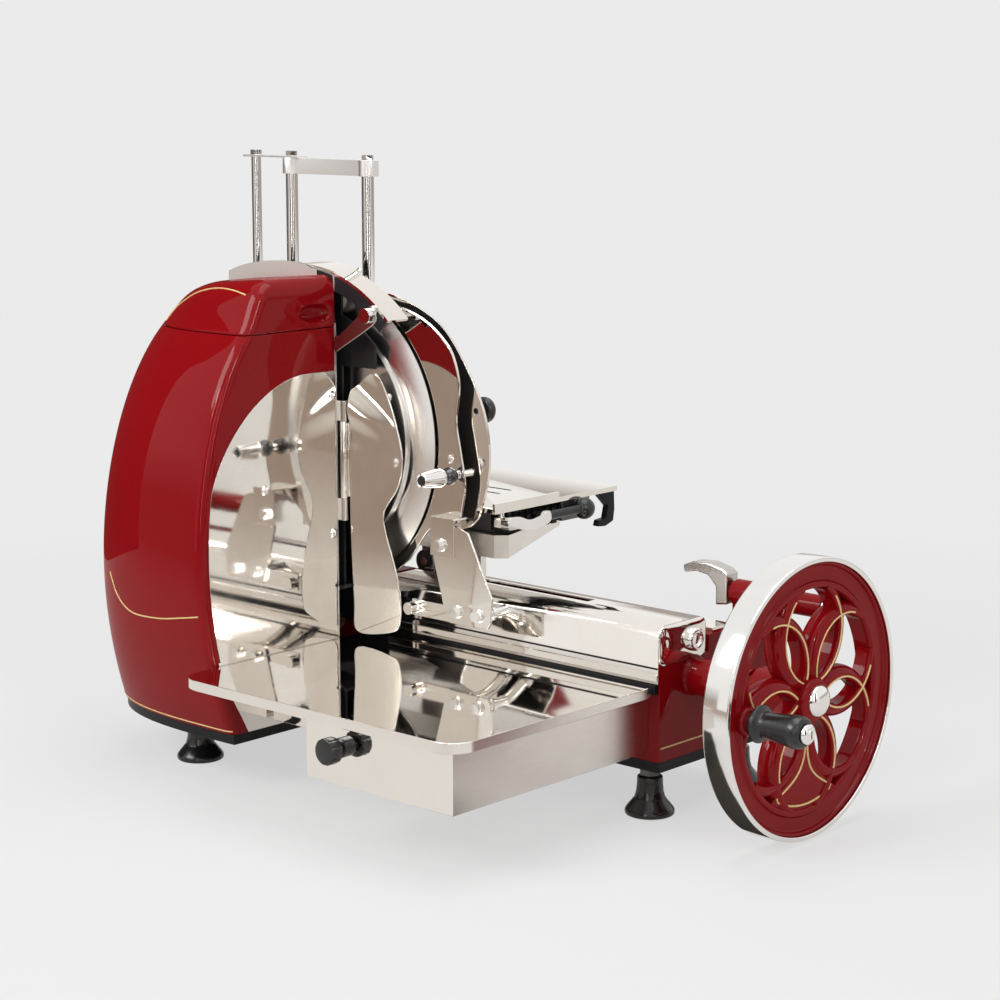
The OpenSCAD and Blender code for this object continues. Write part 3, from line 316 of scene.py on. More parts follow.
def cover_sheet(wire):
    """The rail cover: polished sheet, its long side shaded as if it leaned back a little."""
    spot = place_of(wire)
    height = along(wire, spot, 2)
    buff = grain(wire, stretched(wire, spot, (30.0, 500.0, 900.0)), 1.0, 3.0, 0.6)
    haze = grain(wire, spot, 15.0, 4.0, 0.62)
    return {"Base Color": (haze * 0.5 + buff * 0.2).blend(SHEET_TINT, rgb(0.74, 0.70, 0.65)),
            "Metallic": 1.0, "Roughness": 0.03 + haze * 0.05 + buff * 0.03,
            "Normal": bump(wire, height * COVER_LEAN + buff * 0.00001, 1.0, 1.0)}


def bowed(wire):
    """The round guard: polished sheet, shaded as if it turned away at its outer side."""
    spot = place_of(wire)
    haze = grain(wire, spot, 16.0, 4.0, 0.62)
    return {"Base Color": haze.blend(GUARD_TINT, GUARD_SHADOW), "Metallic": 1.0,
            "Roughness": 0.05 + haze * 0.05, "Normal": bump(wire, along(wire, spot, 0) * ROUND_LEAN, 1.0, 1.0)}


RED = finish("red_enamel", enamel(rgb(0.190, 0.0020, 0.0040), rgb(0.255, 0.0040, 0.0065)))
BLACK = finish("black_enamel", enamel(rgb(0.008, 0.008, 0.009), rgb(0.020, 0.020, 0.022)))
STEEL = finish("polished_sheet", polished(rgb(0.83, 0.795, 0.75), rgb(0.70, 0.66, 0.61), 0.02, 0.02))
SATIN = finish("satin_casting", polished(rgb(0.80, 0.78, 0.75), rgb(0.62, 0.60, 0.57), 0.22, 0.03))
GREY_CAST = finish("grey_casting", polished(rgb(0.56, 0.54, 0.52), rgb(0.42, 0.40, 0.38), 0.22, 0.03))
GUARD = finish("guard_with_painted_shade_back", shade_backed)
SKIRT = finish("brushed_skirt", brushed_end(391.6))
TRAY = finish("brushed_tray", brushed_end(399.5))
BOWED = finish("bowed_guard", bowed)
COVER = finish("rail_cover_sheet", cover_sheet)
BRUSHED = finish("brushed_bars", polished(rgb(0.86, 0.855, 0.85), rgb(0.76, 0.755, 0.75), 0.36, 0.02))
CHROME = finish("bright_plating", plated(rgb(0.88, 0.875, 0.87), 0.035))
DARK_PLATING = finish("dark_plating", plated(rgb(0.10, 0.10, 0.105), 0.10))
BLADE_STEEL = finish("ground_blade", ground)
PLASTIC = finish("black_knobs", moulded(rgb(0.012, 0.012, 0.013), 0.22))
RUBBER = finish("black_feet", moulded(rgb(0.010, 0.010, 0.011), 0.16, 0.03))
IRON = finish("oiled_iron", machined(rgb(0.22, 0.22, 0.23), rgb(0.10, 0.095, 0.09), 0.32))
BRONZE = finish("bearing_bronze", machined(rgb(0.62, 0.40, 0.18), rgb(0.36, 0.22, 0.10), 0.28))
GOLD = finish("gold_striping", gilt)
STONE = finish("sharpening_grit", grit)
LIP = finish("back_plate_finish", lip_and_black)


# ---------------------------------------------------------------- making pieces
def piece(name, bm, material, body, slot, *nodes, sharp=35.0, inside=None):
    """Closes a bmesh into a piece that rides on a body and stands for its CAD nodes."""
    bmesh.ops.remove_doubles(bm, verts=bm.verts, dist=MERGE)
    bmesh.ops.recalc_face_normals(bm, faces=bm.faces)
    if inside is not None:
        bm.faces.ensure_lookup_table()
        outward = sum((f.normal.dot(f.calc_center_median() - inside) * f.calc_area() for f in bm.faces), 0.0)
        if outward < 0:
            bmesh.ops.reverse_faces(bm, faces=bm.faces)
    mesh = bpy.data.meshes.new(name)
    bm.to_mesh(mesh)
    bm.free()
    mesh.shade_smooth()
    mesh.set_sharp_from_angle(angle=math.radians(sharp))
    mesh.materials.append(material)
    made = bpy.data.objects.new(name, mesh)
    bpy.context.scene.collection.objects.link(made)
    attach(made, body)
    if nodes:
        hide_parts(*nodes)
    return made


def walled(made, thickness):
    wall = made.modifiers.new("wall", "SOLIDIFY")
    wall.thickness = thickness * MM
    wall.offset = -1.0
    wall.use_even_offset = True
    return made


def eased(made, width, segments=2, angle=35.0):
    ease = made.modifiers.new("eased edges", "BEVEL")
    ease.width = width * MM
    ease.segments = segments
    ease.limit_method = "ANGLE"
    ease.angle_limit = math.radians(angle)
    ease.harden_normals = True
    return made


node_body = {n: b for b, members in frame["record"]["behaviour"]["bodies"].items() for n in members}
node_slot = {s["node"]: s["material_slot"] for s in frame["record"]["subparts"]}


def dressed(node, material, width=0.4, segments=2, angle=35.0):
    """A copy of a CAD node with its edges eased."""
    bm = bmesh.new()
    bm.from_mesh(frame["nodes"][node].data)
    bmesh.ops.remove_doubles(bm, verts=bm.verts, dist=3e-6)
    bmesh.ops.dissolve_limit(bm, angle_limit=math.radians(0.1), verts=bm.verts, edges=bm.edges)
    made = piece(node + "_eased", bm, material, node_body[node], node_slot[node], node, sharp=angle)
    return eased(made, width, segments, angle)


def rounded(corners, radius, steps=4):
    """Rounds the inner corners of an open profile."""
    out = [Vector(corners[0])]
    for before, corner, after in zip(corners, corners[1:], corners[2:]):
        before, corner, after = Vector(before), Vector(corner), Vector(after)
        reach_in = min(radius, (before - corner).length * 0.45)
        reach_out = min(radius, (after - corner).length * 0.45)
        first = corner + (before - corner).normalized() * reach_in
        last = corner + (after - corner).normalized() * reach_out
        for k in range(steps + 1):
            t = k / steps
            out.append(first * (1 - t) ** 2 + corner * 2 * t * (1 - t) + last * t * t)
    out.append(Vector(corners[-1]))
    return out


def lathe(bm, profile, centre, axis, steps=96, turn=math.tau, side=None):
    """Turns a profile of (radius, place along the axis) about an axis."""
    side = side or (Z_AXIS if abs(axis.z) < 0.5 else X_AXIS)
    verts = [bm.verts.new(centre + side * p[0] * MM + axis * p[1] * MM) for p in profile]
    edges = [bm.edges.new(pair) for pair in zip(verts, verts[1:])]
    bmesh.ops.spin(bm, geom=verts + edges, cent=centre, axis=axis, dvec=(0, 0, 0), angle=turn, steps=steps,
                   use_merge=turn == math.tau, use_duplicate=False)


def curve_through(points, steps=8, closed=False):
    """A smooth line through points (Catmull-Rom)."""
    pts = [Vector(p) for p in points]
    count = len(pts)
    out = []
    for i in range(count if closed else count - 1):
        if closed:
            a, b, c, d = (pts[(i + k) % count] for k in (-1, 0, 1, 2))
        else:
            a, b, c, d = pts[max(i - 1, 0)], pts[i], pts[i + 1], pts[min(i + 2, count - 1)]
        for k in range(steps):
            t = k / steps
            out.append(b + (c - a) * (0.5 * t) + (a * 2 - b * 5 + c * 4 - d) * (0.5 * t * t)
                       + (b * 3 - a - c * 3 + d) * (0.5 * t ** 3))
    if not closed:
        out.append(pts[-1])
    return out


def line_mesh(paths, radius, closed=False):
    """Thin round lines along paths of points, as one bmesh."""
    data = bpy.data.curves.new("line", "CURVE")
    data.dimensions = "3D"
    data.bevel_depth = radius * MM
    data.bevel_resolution = 2
    data.use_fill_caps = True
    for path in paths:
        spline = data.splines.new("POLY")
        spline.points.add(len(path) - 1)
        spline.use_cyclic_u = closed
        for point, spot in zip(spline.points, path):
            point.co = (*spot, 1.0)
    holder = bpy.data.objects.new("line", data)
    mesh = bpy.data.meshes.new_from_object(holder)
    bm = bmesh.new()
    bm.from_mesh(mesh)
    bpy.data.objects.remove(holder)
    bpy.data.curves.remove(data)
    bpy.data.meshes.remove(mesh)
    return bm


def spaced(points, count):
    """Points at equal steps along a line."""
    runs = [0.0]
    for a, b in zip(points, points[1:]):
        runs.append(runs[-1] + (b - a).length)
    out, k = [], 0
    for n in range(count + 1):
        want = runs[-1] * n / count
        while k < len(points) - 2 and runs[k + 1] < want:
            k += 1
        gap = runs[k + 1] - runs[k]
        t = (want - runs[k]) / gap if gap else 0.0
        out.append(points[k].lerp(points[k + 1], min(max(t, 0.0), 1.0)))
    return out


def raised(bm, outline, vec):
    """A flat outline raised into a plate."""
    face = bm.faces.new([bm.verts.new(p) for p in outline])
    rise = bmesh.ops.extrude_face_region(bm, geom=[face])
    bmesh.ops.translate(bm, verts=[v for v in rise["geom"] if isinstance(v, bmesh.types.BMVert)], vec=vec)


def block_mesh(bm, low, high):
    """A plain bar between two corners."""
    made = bmesh.ops.create_cube(bm, size=1.0)
    low, high = at(*low), at(*high)
    bmesh.ops.scale(bm, verts=made["verts"], vec=high - low)
    bmesh.ops.translate(bm, verts=made["verts"], vec=(low + high) / 2)


def grid_of(rows):
    """A grid whose rows run through given places."""
    bm = bmesh.new()
    bmesh.ops.create_grid(bm, x_segments=len(rows[0]) - 1, y_segments=len(rows) - 1, size=1.0)
    for vert, spot in zip(bm.verts, (p for row in rows for p in row)):
        vert.co = spot
    return bm


def turned_piece(name, profile, centre, axis, steps, *told, sharp=35.0):
    """A piece turned from one profile; what is told goes on to piece()."""
    bm = bmesh.new()
    lathe(bm, profile, centre, axis, steps)
    return piece(name, bm, *told, sharp=sharp)


def barred_piece(name, bars, *told):
    """A piece made of plain bars; what is told goes on to piece()."""
    bm = bmesh.new()
    for low, high in bars:
        block_mesh(bm, low, high)
    return piece(name, bm, *told)


# ---------------------------------------------------------------- the egg-shaped casing and its lid
CASE_TOP, CASE_LEN, CASE_DEPTH, CASE_WIDE = 480.0, 201.0, 206.0, 230.0
CASE_BACK, CREST_Y, CORNER = 28.4, 70.0, 0.741
LID_FULL, LID_CLIMB, LID_CLIMB_X = 30.0, 10.0, -70.0


def up_lid(z):
    """How far up the lid a level is: 0 at the seam, 1 at the top."""
    return min(max((z - SEAM_Z) / (CASE_TOP - SEAM_Z), 0.0), 1.0)


def front_at(z):
    if z > CASE_WIDE:
        climb = (z - CASE_WIDE) / (CASE_TOP - CASE_WIDE)
        return CREST_Y + (CASE_DEPTH - CREST_Y) * max(0.0, 1 - climb ** 1.9) ** 0.48 + LID_FULL * up_lid(z) ** 2
    return CASE_DEPTH * (1 - 0.18 * ((CASE_WIDE - z) / (CASE_WIDE - PLINTH_Z)) ** 2)


def reach_at(z):
    climb = 0.995 * max(0.0, z - PLINTH_Z) / (CASE_TOP - PLINTH_Z)
    return CASE_LEN * (1 - climb ** 1.62) ** 0.222


def casing_y(x, z):
    """The casing's front surface over a place in X and Z."""
    depth = max(0.0, 1 - (abs(x) / reach_at(z)) ** (2 / CORNER)) ** (CORNER / 2)
    return -CASE_BACK - (front_at(z) - CASE_BACK) * depth


CREASE_R, TOP_ROUND = 11.0, 16.0
RING_STEPS, CURVED, CREASED = 240, 84, 8


def face_at(z):
    """The end face's place in X: flat, and rounded over into the lid's top."""
    rise = max(0.0, z - CASE_TOP + TOP_ROUND)
    return FACE_X - TOP_ROUND + math.sqrt(TOP_ROUND ** 2 - min(rise, TOP_ROUND) ** 2)


def casing_ring(z, curved, crease, flat, rear=0):
    """The casing's outline at a level, from its back edge round the front to the end face."""
    reach, depth, face = reach_at(z), front_at(z) - CASE_BACK, face_at(z)
    run = []
    for k in range(RING_STEPS + 1):
        q = math.pi * (1 - k / RING_STEPS)
        x = reach * math.copysign(abs(math.cos(q)) ** CORNER, math.cos(q))
        if x > face - 0.01:
            break
        run.append(Vector((x, -CASE_BACK - depth * math.sin(q) ** CORNER)))
    corner = Vector((face, casing_y(face, z)))
    run.append(corner)
    radius = min(CREASE_R, (-CASE_BACK - corner.y) * 0.4)
    while len(run) > 2 and (run[-1] - corner).length < radius:
        run.pop()
    run.append(corner + (run[-1] - corner).normalized() * radius)
    landing = Vector((face, corner.y + radius))
    ring = spaced(run, curved)
    for k in range(1, crease):
        t = k / crease
        ring.append(ring[curved] * (1 - t) ** 2 + corner * 2 * t * (1 - t) + landing * t * t)
    end = Vector((face, -CASE_BACK))
    ring += spaced([landing, end], flat)
    if rear:
        ring += spaced([end, ring[0]], rear)[1:]
    return [Vector((p.x, p.y, z)) for p in ring]


def loft(levels, *counts, shaped=Vector):
    """A grid whose rows lie on the casing's outlines; shaped() may move each place."""
    return grid_of([[at(*shaped(p)) for p in casing_ring(z, *counts)] for z in levels])


SEAM_GAP, CASE_ROWS, LID_ROWS = 0.4, 64, 46
casing_levels = [PLINTH_Z + (SEAM_Z - SEAM_GAP - PLINTH_Z) * k / CASE_ROWS for k in range(CASE_ROWS + 1)]
casing = piece("casing_skin", loft(casing_levels, CURVED, CREASED, 22), RED, "frame", "red_paint", "casing_shell",
               inside=at(-40, -90, 260), sharp=50)
eased(walled(casing, 4.0), 0.6, 2, 50)

RECESS_Y, RECESS_Z, RECESS_WIDE, RECESS_HIGH, RECESS_DEEP = -53.0, 453.5, 21.0, 9.0, 9.0


def climbed(spot):
    """A place on the lid, raised towards the end face: the lid's top climbs to the lip there."""
    share = min(max((spot.x - LID_CLIMB_X) / (FACE_X - LID_CLIMB_X), 0.0), 1.0)
    return spot + Z_AXIS * LID_CLIMB * share * up_lid(spot.z)


def lid_spot(spot):
    """A place on the lid, with the oval finger recess in its end face."""
    place = climbed(spot)
    away = math.hypot((place.y - RECESS_Y) / RECESS_WIDE, (place.z - RECESS_Z) / RECESS_HIGH)
    if away < 1 and spot.x > face_at(spot.z) - 0.5:
        place.x -= RECESS_DEEP * (1 - away ** 6)
    return place


lid_rise = CASE_TOP - 0.15 - SEAM_Z - SEAM_GAP
lid_levels = [SEAM_Z + SEAM_GAP + lid_rise * math.sin(math.pi / 2 * k / LID_ROWS) for k in range(LID_ROWS + 1)]
lid_mesh = loft(lid_levels, CURVED, CREASED, 72, 40, shaped=lid_spot)
bmesh.ops.remove_doubles(lid_mesh, verts=lid_mesh.verts, dist=MERGE)
seam_z = min(v.co.z for v in lid_mesh.verts) + 0.001
crown = [e for e in lid_mesh.edges if e.is_boundary and all(v.co.z > seam_z for v in e.verts)]
bmesh.ops.holes_fill(lid_mesh, edges=crown, sides=0)
lid = piece("lid_skin", lid_mesh, RED, "lid", "red_paint", "lid", inside=at(-40, -75, 445), sharp=50)
walled(lid, 3.5)

# gold lines on the casing and the lid
LINE_R, WHEEL_LINE_R = 0.75, 0.95
lower_sweep = [(-108, 199), (-102, 190), (-96, 181), (-81, 170), (-60, 165), (-21, 167), (9, 172), (36, 177)]
lid_sweep = [(-97, 442), (-94, 448), (-84, 457), (-59, 468.5), (-36, 473.5), (-14, 474.5), (9, 472.3),
             (27, 468.8)]


def on_casing(pairs):
    line = curve_through(pairs, 10)
    return [at(*climbed(Vector((p.x, casing_y(p.x, p.y) - 0.1, p.y)))) for p in line]


piece("casing_sweep_line", line_mesh([on_casing(lower_sweep)], LINE_R), GOLD, "frame", "red_paint")
piece("lid_sweep_line", line_mesh([on_casing(lid_sweep)], LINE_R), GOLD, "lid", "red_paint")
foot_line = [at(p.x * 0.9965, p.y, p.z) for p in casing_ring(PLINTH_Z + 3.5, CURVED, CREASED, 12)[:CURVED + 5]]
piece("casing_foot_line", line_mesh([foot_line], LINE_R), GOLD, "frame", "red_paint")

# ---------------------------------------------------------------- the flywheel
WHEEL = at(0, WHEEL_Y, WHEEL_Z)
WHEEL_R, RIM_T, RIM_W, BAND_W, HUB_R = 129.0, 4.0, 27.0, 24.0, 21.0
RING_OUT = WHEEL_R - RIM_T
RING_IN = RING_OUT - BAND_W
WEB_BACK, WEB_FRONT = WHEEL_X - RIM_W + 3, WHEEL_X - 5
PETALS, RIB_IN, RIB_OUT = 6, 3.0, 10.0
PETAL_IN, PETAL_OUT, PETAL_HALF = HUB_R - 4, RING_IN - 18, 14.0
PETAL_MID, PETAL_SPAN = (PETAL_IN + PETAL_OUT) / 2, (PETAL_OUT - PETAL_IN) / 2
PETAL_RHO = (PETAL_SPAN ** 2 + PETAL_HALF ** 2) / (2 * PETAL_HALF)
PETAL_D = PETAL_RHO - PETAL_HALF
WHEEL_TURN = 87.0


def on_wheel(u, v, x):
    """A place on the wheel: u to the right, v up as seen from the crank side, x along the shaft."""
    return at(x, WHEEL_Y + u, WHEEL_Z + v)


def petal_frames():
    for k in range(PETALS):
        angle = math.radians(WHEEL_TURN + 180 / PETALS + 360 / PETALS * k)
        for flip in (1, -1):
            yield angle, flip


def rib_spot(angle, flip, t, rho):
    u, v = PETAL_MID + rho * math.cos(t), (-PETAL_D + rho * math.sin(t)) * flip
    return u * math.cos(angle) - v * math.sin(angle), u * math.sin(angle) + v * math.cos(angle)


RIB_FROM = math.pi - math.asin(PETAL_D / PETAL_RHO) + 0.10
RIB_TO = -0.06
wheel_mesh = bmesh.new()
band = rounded([(RING_IN, WEB_BACK + 3), (RING_IN, WEB_BACK), (RING_OUT - 0.05, WEB_BACK),
                (RING_OUT - 0.05, WEB_FRONT + 2), (RING_OUT - 3, WEB_FRONT + 2), (RING_OUT - 4.5, WEB_FRONT - 2),
                (RING_IN + 7, WEB_FRONT - 2), (RING_IN + 5, WEB_FRONT + 1.5), (RING_IN + 1, WEB_FRONT + 1.5),
                (RING_IN - 1, WEB_FRONT - 2), (RING_IN, WEB_BACK + 3)], 1.6)
lathe(wheel_mesh, band, WHEEL, X_AXIS, 160)
hub = rounded([(0, WHEEL_X + 4), (15, WHEEL_X + 4), (HUB_R - 1, WHEEL_X + 2), (HUB_R, WHEEL_X - 6),
               (HUB_R, WHEEL_X - 60), (9.2, WHEEL_X - 60), (9.2, WHEEL_X - 58)], 2.5)
lathe(wheel_mesh, hub, WHEEL, X_AXIS, 72)
CRANK_Y = WHEEL_Y - 97.0
boss = rounded([(5.2, WHEEL_X + 2), (11, WHEEL_X + 2), (13, WHEEL_X - 1), (13.5, WEB_BACK + 3),
                (5.2, WEB_BACK + 3)], 1.5)
lathe(wheel_mesh, boss, at(0, CRANK_Y, WHEEL_Z), X_AXIS, 48)

# a rib's section, turned about the centre of its arc
rib_section = rounded([(-RIB_IN, WEB_BACK + 4), (-RIB_IN, WEB_FRONT - 2), (-1.6, WEB_FRONT + 1.4),
                       (1.8, WEB_FRONT + 1.8), (RIB_OUT - 2, WEB_FRONT - 2), (RIB_OUT, WEB_FRONT - 8),
                       (RIB_OUT, WEB_BACK + 5), (RIB_OUT - 4, WEB_BACK), (-RIB_IN, WEB_BACK + 4)], 4.0, 5)
for angle, flip in petal_frames():
    cu, cv = rib_spot(angle, flip, 0.0, 0.0)
    spin_side = Vector((0, math.cos(angle + flip * RIB_FROM), math.sin(angle + flip * RIB_FROM)))
    start = [(PETAL_RHO + p[0], p[1]) for p in rib_section]
    lathe(wheel_mesh, start, on_wheel(cu, cv, 0), X_AXIS, 40, flip * (RIB_TO - RIB_FROM), spin_side)

# the solid fan at the bottom
FAN_TURN = math.radians(-93.0)
fan_side = [(HUB_R - 4, 6), (36, 6.5), (48, 8), (60, 13), (70, 22), (79, 36), (87, 48)]
fan_line = [(33, 0.6), (44, 1.6), (54, 3.6), (64, 8.5), (72, 17), (79, 29), (85, 42)]


def fan_outline(side, steps, radius, half, step):
    """A closed outline: one side of the fan, an arc across its foot, and the side mirrored."""
    run = curve_through(side, steps)
    arc = [radius * Vector((math.cos(q), math.sin(q))) for q in map(math.radians, range(half, -half - 1, -step))]
    return run + arc + [Vector((p.x, -p.y)) for p in reversed(run)]


def fan_spot(p, x):
    return on_wheel(p.x * math.cos(FAN_TURN) - p.y * math.sin(FAN_TURN),
                    p.x * math.sin(FAN_TURN) + p.y * math.cos(FAN_TURN), x)


raised(wheel_mesh, [fan_spot(p, WEB_BACK + 3) for p in fan_outline(fan_side, 4, RING_IN + 2, 30, 6)],
       ((WEB_FRONT - 1 - WEB_BACK - 3) * MM, 0, 0))
piece("flywheel_casting", wheel_mesh, RED, "flywheel", "red_paint", "flywheel", sharp=38)

gold_paths = []
for angle, flip in petal_frames():
    beside_fan = math.cos(angle - FAN_TURN) > 0.5
    if beside_fan and math.sin(FAN_TURN - angle) * flip > 0:
        continue
    first, last = RIB_FROM - 0.16, 0.82 if beside_fan else RIB_TO + 0.34
    turns = [first + (last - first) * k / 28 for k in range(29)]
    gold_paths.append([on_wheel(*rib_spot(angle, flip, t, PETAL_RHO), WEB_FRONT + 1.35) for t in turns])
piece("flywheel_rib_lines", line_mesh(gold_paths, WHEEL_LINE_R), GOLD, "flywheel", "red_paint")
fan_path = [fan_spot(p, WEB_FRONT - 0.75) for p in fan_outline(fan_line, 5, RING_IN - 4, 24, 4)]
piece("flywheel_fan_line", line_mesh([fan_path], WHEEL_LINE_R, closed=True), GOLD, "flywheel", "red_paint")

rim = rounded([(RING_OUT, WHEEL_X - 14), (RING_OUT, WHEEL_X - RIM_W), (WHEEL_R, WHEEL_X - RIM_W), (WHEEL_R, WHEEL_X),
               (RING_OUT - 0.6, WHEEL_X), (RING_OUT - 0.6, WHEEL_X - 2.5), (RING_OUT, WHEEL_X - 3),
               (RING_OUT, WHEEL_X - 14)], 1.4)
turned_piece("wheel_rim_band", rim, WHEEL, X_AXIS, 192, CHROME, "flywheel", "chrome", "wheel_rim", sharp=40)

dome = [(0, 8), (4, 7.8), (8, 7.0), (11, 5.8), (13.4, 4.0), (14.6, 2.0), (15, 0.4), (14.8, 0), (0, 0)]
turned_piece("hub_dome", dome, at(WHEEL_X + 4, WHEEL_Y, WHEEL_Z), X_AXIS, 64, CHROME, "flywheel", "chrome", "hub_cap",
             sharp=50)

GRIP_X, GRIP_L, NUT_L = WHEEL_X + 9, 50.0, 6.0
CRANK = at(GRIP_X, CRANK_Y, WHEEL_Z)
grip = rounded([(5.1, 0), (15.8, 0), (17, 2), (16.6, 4.4), (13.6, 6.0), (11.6, 7.6), (11.5, 11), (12.4, 20), (13.6, 30),
                (14.8, 40), (14.6, 44), (13.4, 47.6), (11.4, 49.4), (9.2, 49.5), (5.1, 49.5)], 2.0, 5)
turned_piece("crank_handle", grip, CRANK, X_AXIS, 72, PLASTIC, "crank_grip", "black_plastic", "crank_grip", sharp=50)
spindle = rounded([(0, GRIP_L + NUT_L - 0.1), (3.9, GRIP_L + NUT_L - 0.1), (4.3, GRIP_L + NUT_L - 1.2),
                   (6.6, GRIP_L + NUT_L - 1.0), (8.8, GRIP_L + 3.4), (9, GRIP_L + 0.1), (5, GRIP_L),
                   (5, 1.0), (5, -0.5), (7.6, -0.6), (8, -1.4), (8, -6.6), (5, -7), (5, -24), (0, -24)], 0.5, 2)
turned_piece("crank_pin_and_nut", spindle, CRANK, X_AXIS, 64, CHROME, "flywheel", "chrome", "crank_spindle")
# painted shade: a thin black block on the nut's end stands for the shade inside its slot
barred_piece("crank_nut_slot_painted_shade", [((GRIP_X + GRIP_L + 3, CRANK_Y - 0.7, WHEEL_Z - 3.6),
                                 (GRIP_X + GRIP_L + NUT_L - 0.02, CRANK_Y + 0.7, WHEEL_Z + 3.6))],
             PLASTIC, "flywheel", "chrome")

# ---------------------------------------------------------------- feet and knobs
feet_mesh = bmesh.new()
foot = rounded([(0, 0), (22, 0), (23.5, 1.2), (23.5, 4.6), (21.5, 7.6), (17.5, 12.5), (14.6, 16), (13.0, 22),
                (12.2, 30), (12, 37), (6.05, 37), (6.05, 14), (0, 14)], 1.6)
for x, y in ((-70, -112), (382, 48), (382, 184), (-70, 184)):
    lathe(feet_mesh, foot, at(x, y, 0), Z_AXIS, 64)
piece("feet", feet_mesh, RUBBER, "frame", "rubber", "foot_pads", sharp=45)

knob = rounded([(0, 0), (3, 0), (3, 3), (5, 3), (5, 7), (11, 8), (13, 11), (12.4, 15), (9, 18.6), (0, 20)], 1.8)
turned_piece("guard_knob_turned", knob, at(183, 25, BLADE_H + 36), Y_AXIS, 64,
             PLASTIC, "guard_knob", "black_plastic", "guard_knob", sharp=50)

# ---------------------------------------------------------------- the blade and what stands round it
hollow = [(129 + 21 * t, -1 + 3.6 * t ** 1.35) for t in (k / 12 for k in range(1, 13))]
blade_profile = [(60.05, -2), (120.4, -2), (121.4, -1.93), (128.4, -1.1), (129, -1)] + hollow
blade_profile += [(150, 3), (140, 3), (128, 0.5), (60.05, 0.5), (60.05, -2)]
turned_piece("blade_ground", blade_profile, at(0, 0, BLADE_H), Y_AXIS, 224,
             BLADE_STEEL, "blade", "chrome", "blade", sharp=5)

PIN = at(176, -6, BLADE_H - 24)
cone = rounded([(0, -37.3), (5.2, -37.3), (5.6, -38), (6.6, -37.9), (7, -37), (9.5, -14), (8.5, -10), (5, -8),
                (4, -7.6), (4, 33), (0, 33)], 1.2, 4)
turned_piece("guard_pin_grip", cone, PIN, Y_AXIS, 64, CHROME, "guard_pin", "chrome", "guard_pin", sharp=40)
ball = [(4.02, -7), (5.2, -6.4), (6.9, -4.2), (8.2, -1.6), (8.75, 1), (8.2, 3.6), (6.9, 6.2), (5.2, 8.4),
        (4.02, 9), (4.02, -7)]
turned_piece("guard_pin_ball", ball, PIN, Y_AXIS, 64, DARK_PLATING, "guard_pin", "chrome", sharp=60)
insert = [(0, -37.7), (4.4, -37.7), (5.1, -37.4), (5.1, -37.2), (0, -37.2)]
turned_piece("guard_pin_insert", insert, PIN, Y_AXIS, 48, PLASTIC, "guard_pin", "chrome", sharp=60)

GUARD_EDGE = [(58, 138), (84, 133), (112, 129), (138, 119), (158, 105), (171, 90), (179, 62), (175, 28), (180, 0),
              (186, -32), (182, -58), (177, -72)]
bead = [at(p.x - 0.4, 6.5, BLADE_H + p.y) for p in curve_through(GUARD_EDGE, 8)]
piece("blade_guard_bead", line_mesh([bead], 1.3), STEEL, "frame", "polished_steel")

# the slice deflector: a thin sheet, dished above and flat below, that leans towards the blade
DEFLECTOR = [(55, 40), (64, 54), (88, 68), (104, 45), (116, 12), (121, -14), (116, -40), (102, -60), (97, -72),
             (101, -92), (110, -118), (117, -150), (117, -172), (108, -186), (63, -191), (59, -160), (56, -100),
             (55, -30)]
deflector_outline = curve_through(DEFLECTOR, 5, closed=True)


def row_ends(outline, z):
    """The first and last place in X where an outline crosses a level."""
    cuts = [a.x + (b.x - a.x) * (z - a.y) / (b.y - a.y)
            for a, b in zip(outline, outline[1:] + outline[:1]) if a.y != b.y and (a.y - z) * (b.y - z) <= 0]
    return min(cuts), max(cuts)


HINGE = Vector((50, -22, 0))
KNUCKLE_IN, KNUCKLE_OUT, KNUCKLE_LOW, KNUCKLE_HIGH = 1.55, 3.5, BLADE_H - 57.7, BLADE_H + 18.7
SHEET_Y, SHEET_T = -19.75, 1.2
DEFLECTOR_TURN = Matrix.Rotation(math.radians(7), 3, "Z")


def dished(x, z, across):
    """How far the sheet stands from the flat at a place."""
    climb = min(max((z + 12) / 80, 0.0), 1.0)
    gather = min(1.0, climb * 2.2) * (1 - across ** 3)
    return 1.9 * gather * math.sin(math.tau * (1.35 * climb + 0.5 * (x - 55) / 62))


def swung(x, y, z):
    """A place on the closed deflector, which leans towards the blade from its hinge."""
    return at(*(HINGE + DEFLECTOR_TURN @ (Vector((x, y, z)) - HINGE)))


ROWS, COLUMNS = 96, 40
bottom_z = min(p.y for p in deflector_outline) + 0.01
top_z = max(p.y for p in deflector_outline) - 0.01
sheet_rows = []
for k in range(ROWS + 1):
    z = bottom_z + (top_z - bottom_z) * (0.5 - 0.5 * math.cos(math.pi * k / ROWS))
    first, last = row_ends(deflector_outline, z)
    places = [(first + (last - first) * n / COLUMNS, n / COLUMNS) for n in range(COLUMNS + 1)]
    sheet_rows.append([swung(x, SHEET_Y + dished(x, z, across), BLADE_H + z) for x, across in places])
deflector_sheet = piece("deflector_sheet", grid_of(sheet_rows), STEEL, "deflector", "polished_steel", "deflector",
                        sharp=60, inside=at(80, 40, BLADE_H))
skin = deflector_sheet.modifiers.new("sheet", "SOLIDIFY")
skin.thickness = SHEET_T * MM
skin.offset = 0.0
skin.material_offset = 1
deflector_sheet.data.materials.append(SATIN)
knuckle_mesh = bmesh.new()
knuckle = rounded([(KNUCKLE_IN, KNUCKLE_LOW), (KNUCKLE_OUT, KNUCKLE_LOW), (KNUCKLE_OUT, KNUCKLE_HIGH),
                   (KNUCKLE_IN, KNUCKLE_HIGH), (KNUCKLE_IN, KNUCKLE_LOW)], 0.3, 2)
lathe(knuckle_mesh, knuckle, at(*HINGE), Z_AXIS, 32)
block_mesh(knuckle_mesh, (51.6, -20.2, BLADE_H - 56), (57.4, -18.9, BLADE_H + 17))
piece("deflector_knuckle", knuckle_mesh, STEEL, "deflector", "polished_steel")

